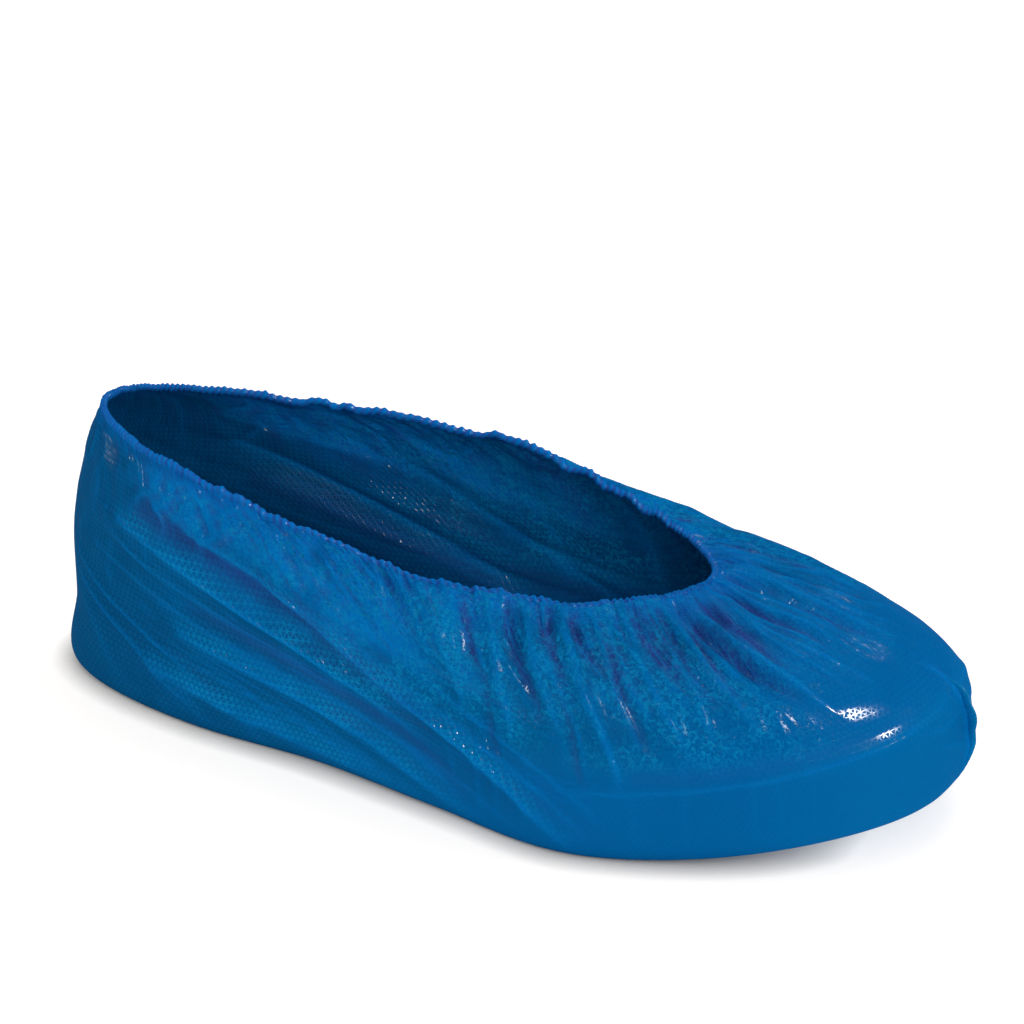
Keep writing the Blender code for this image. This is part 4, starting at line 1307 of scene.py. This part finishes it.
def camera_axes():
    """Right, up and back of the camera from its azimuth and elevation."""
    azimuth, elevation = math.radians(CAMERA_AZIMUTH), math.radians(CAMERA_ELEVATION)
    back = Vector((math.sin(azimuth) * math.cos(elevation),
                   -math.cos(azimuth) * math.cos(elevation), math.sin(elevation)))
    right = Vector((math.cos(azimuth), math.sin(azimuth), 0.0))
    return right, back.cross(right), back


def add_area_light(name, place, aim, size, power):
    """A round soft light at a place, turned to its aim."""
    light = bpy.data.lights.new(name, "AREA")
    light.shape = "DISK"
    light.size = size
    light.energy = power
    lamp = bpy.data.objects.new(name, light)
    lamp.location = place
    lamp.rotation_euler = (Vector(place) - Vector(aim)).to_track_quat("Z", "Y").to_euler()
    bpy.context.scene.collection.objects.link(lamp)
    return lamp


class SHOECOVER_OT_stage(bpy.types.Operator):
    """Adds the pale floor, the soft lights and the camera"""

    bl_idname = "shoe_cover.stage"
    bl_label = "Stage"

    def execute(self, context):
        scene = context.scene
        sizes, colours = scene.shoe_cover_sizes, scene.shoe_cover_colours
        mesh = bpy.data.meshes.new("floor")
        half, low = FLOOR_HALF_SIDE, -sizes.underside - FLOOR_GAP
        mesh.from_pydata([(-half, -half, low), (half, -half, low), (half, half, low),
                          (-half, half, low)], [], [(0, 1, 2, 3)])
        floor = bpy.data.objects.new("floor", mesh)
        scene.collection.objects.link(floor)
        mesh.materials.append(matt_floor(colours.floor))

        right, up, back = camera_axes()
        camera_data = bpy.data.cameras.new("camera")
        camera_data.lens = CAMERA_LENS
        camera_data.sensor_width = 36.0
        camera = bpy.data.objects.new("camera", camera_data)
        place = Vector(CAMERA_TARGET) + back * CAMERA_DISTANCE
        place = place - right * CAMERA_OFFSET[0] + up * CAMERA_OFFSET[1]
        turn = Matrix((right, up, back)).transposed()
        camera.matrix_world = Matrix.Translation(place) @ turn.to_4x4()
        scene.collection.objects.link(camera)
        scene.camera = camera

        world = bpy.data.worlds.new("soft_studio")
        world.use_nodes = True
        background = world.node_tree.nodes["Background"]
        background.inputs["Color"].default_value = (1.0, 1.0, 1.0, 1.0)
        background.inputs["Strength"].default_value = WORLD_STRENGTH
        scene.world = world
        scene.view_settings.view_transform = "Standard"

        # The softboxes give the forms their soft shade, and only the key light shows in the gloss.
        for softbox in SOFTBOXES:
            add_area_light(*softbox).visible_glossy = False
        # The key light stands where the toe cap mirrors it towards the camera.
        cap = base_film(sizes, np.array(MIRROR_AROUND), np.tile(MIRROR_DOWN, (3, 1)))
        normal = Vector(np.cross(cap[1, 2] - cap[1, 0], cap[2, 1] - cap[0, 1])).normalized()
        if normal.z < 0:
            normal = -normal
        spot = Vector(cap[1, 1])
        view = (place - spot).normalized()
        mirror = 2 * normal.dot(view) * normal - view
        key = add_area_light("key_light", spot + mirror * KEY_DISTANCE, spot, KEY_WIDTH, KEY_POWER)
        key.data.shape = "ELLIPSE"
        key.data.size_y = KEY_HEIGHT
        across = (right - right.dot(mirror) * mirror).normalized()
        turn = Matrix((across, mirror.cross(across), mirror)).transposed()
        key.rotation_euler = turn.to_euler()
        key.visible_diffuse = False
        return {"FINISHED"}


class SHOECOVER_PT_panel(bpy.types.Panel):
    """Pieces of the shoe cover"""

    bl_idname = "SHOECOVER_PT_panel"
    bl_label = "Shoe Cover"
    bl_space_type = "VIEW_3D"
    bl_region_type = "UI"
    bl_category = "Shoe Cover"

    def draw(self, context):
        layout = self.layout
        for group in (context.scene.shoe_cover_sizes, context.scene.shoe_cover_colours):
            box = layout.box()
            for name in group.__annotations__:
                box.prop(group, name)
        for operator in OPERATORS:
            layout.operator(operator.bl_idname)


OPERATORS = (
    SHOECOVER_OT_film,
    SHOECOVER_OT_elastic_hem,
    SHOECOVER_OT_toe_weld,
    SHOECOVER_OT_stage,
)
CLASSES = (ShoeCoverSizes, ShoeCoverColours, *OPERATORS, SHOECOVER_PT_panel)


def register():
    """Makes the sizes, the colours, the operators and the panel known."""
    for cls in CLASSES:
        bpy.utils.register_class(cls)
    bpy.types.Scene.shoe_cover_sizes = PointerProperty(type=ShoeCoverSizes)
    bpy.types.Scene.shoe_cover_colours = PointerProperty(type=ShoeCoverColours)


def unregister():
    """Takes all of them away again."""
    del bpy.types.Scene.shoe_cover_colours
    del bpy.types.Scene.shoe_cover_sizes
    for cls in reversed(CLASSES):
        bpy.utils.unregister_class(cls)


def main():
    """Builds every piece and the stage."""
    register()
    bpy.ops.shoe_cover.film()
    bpy.ops.shoe_cover.elastic_hem()
    bpy.ops.shoe_cover.toe_weld()
    bpy.ops.shoe_cover.stage()


if __name__ == "__main__":
    main()
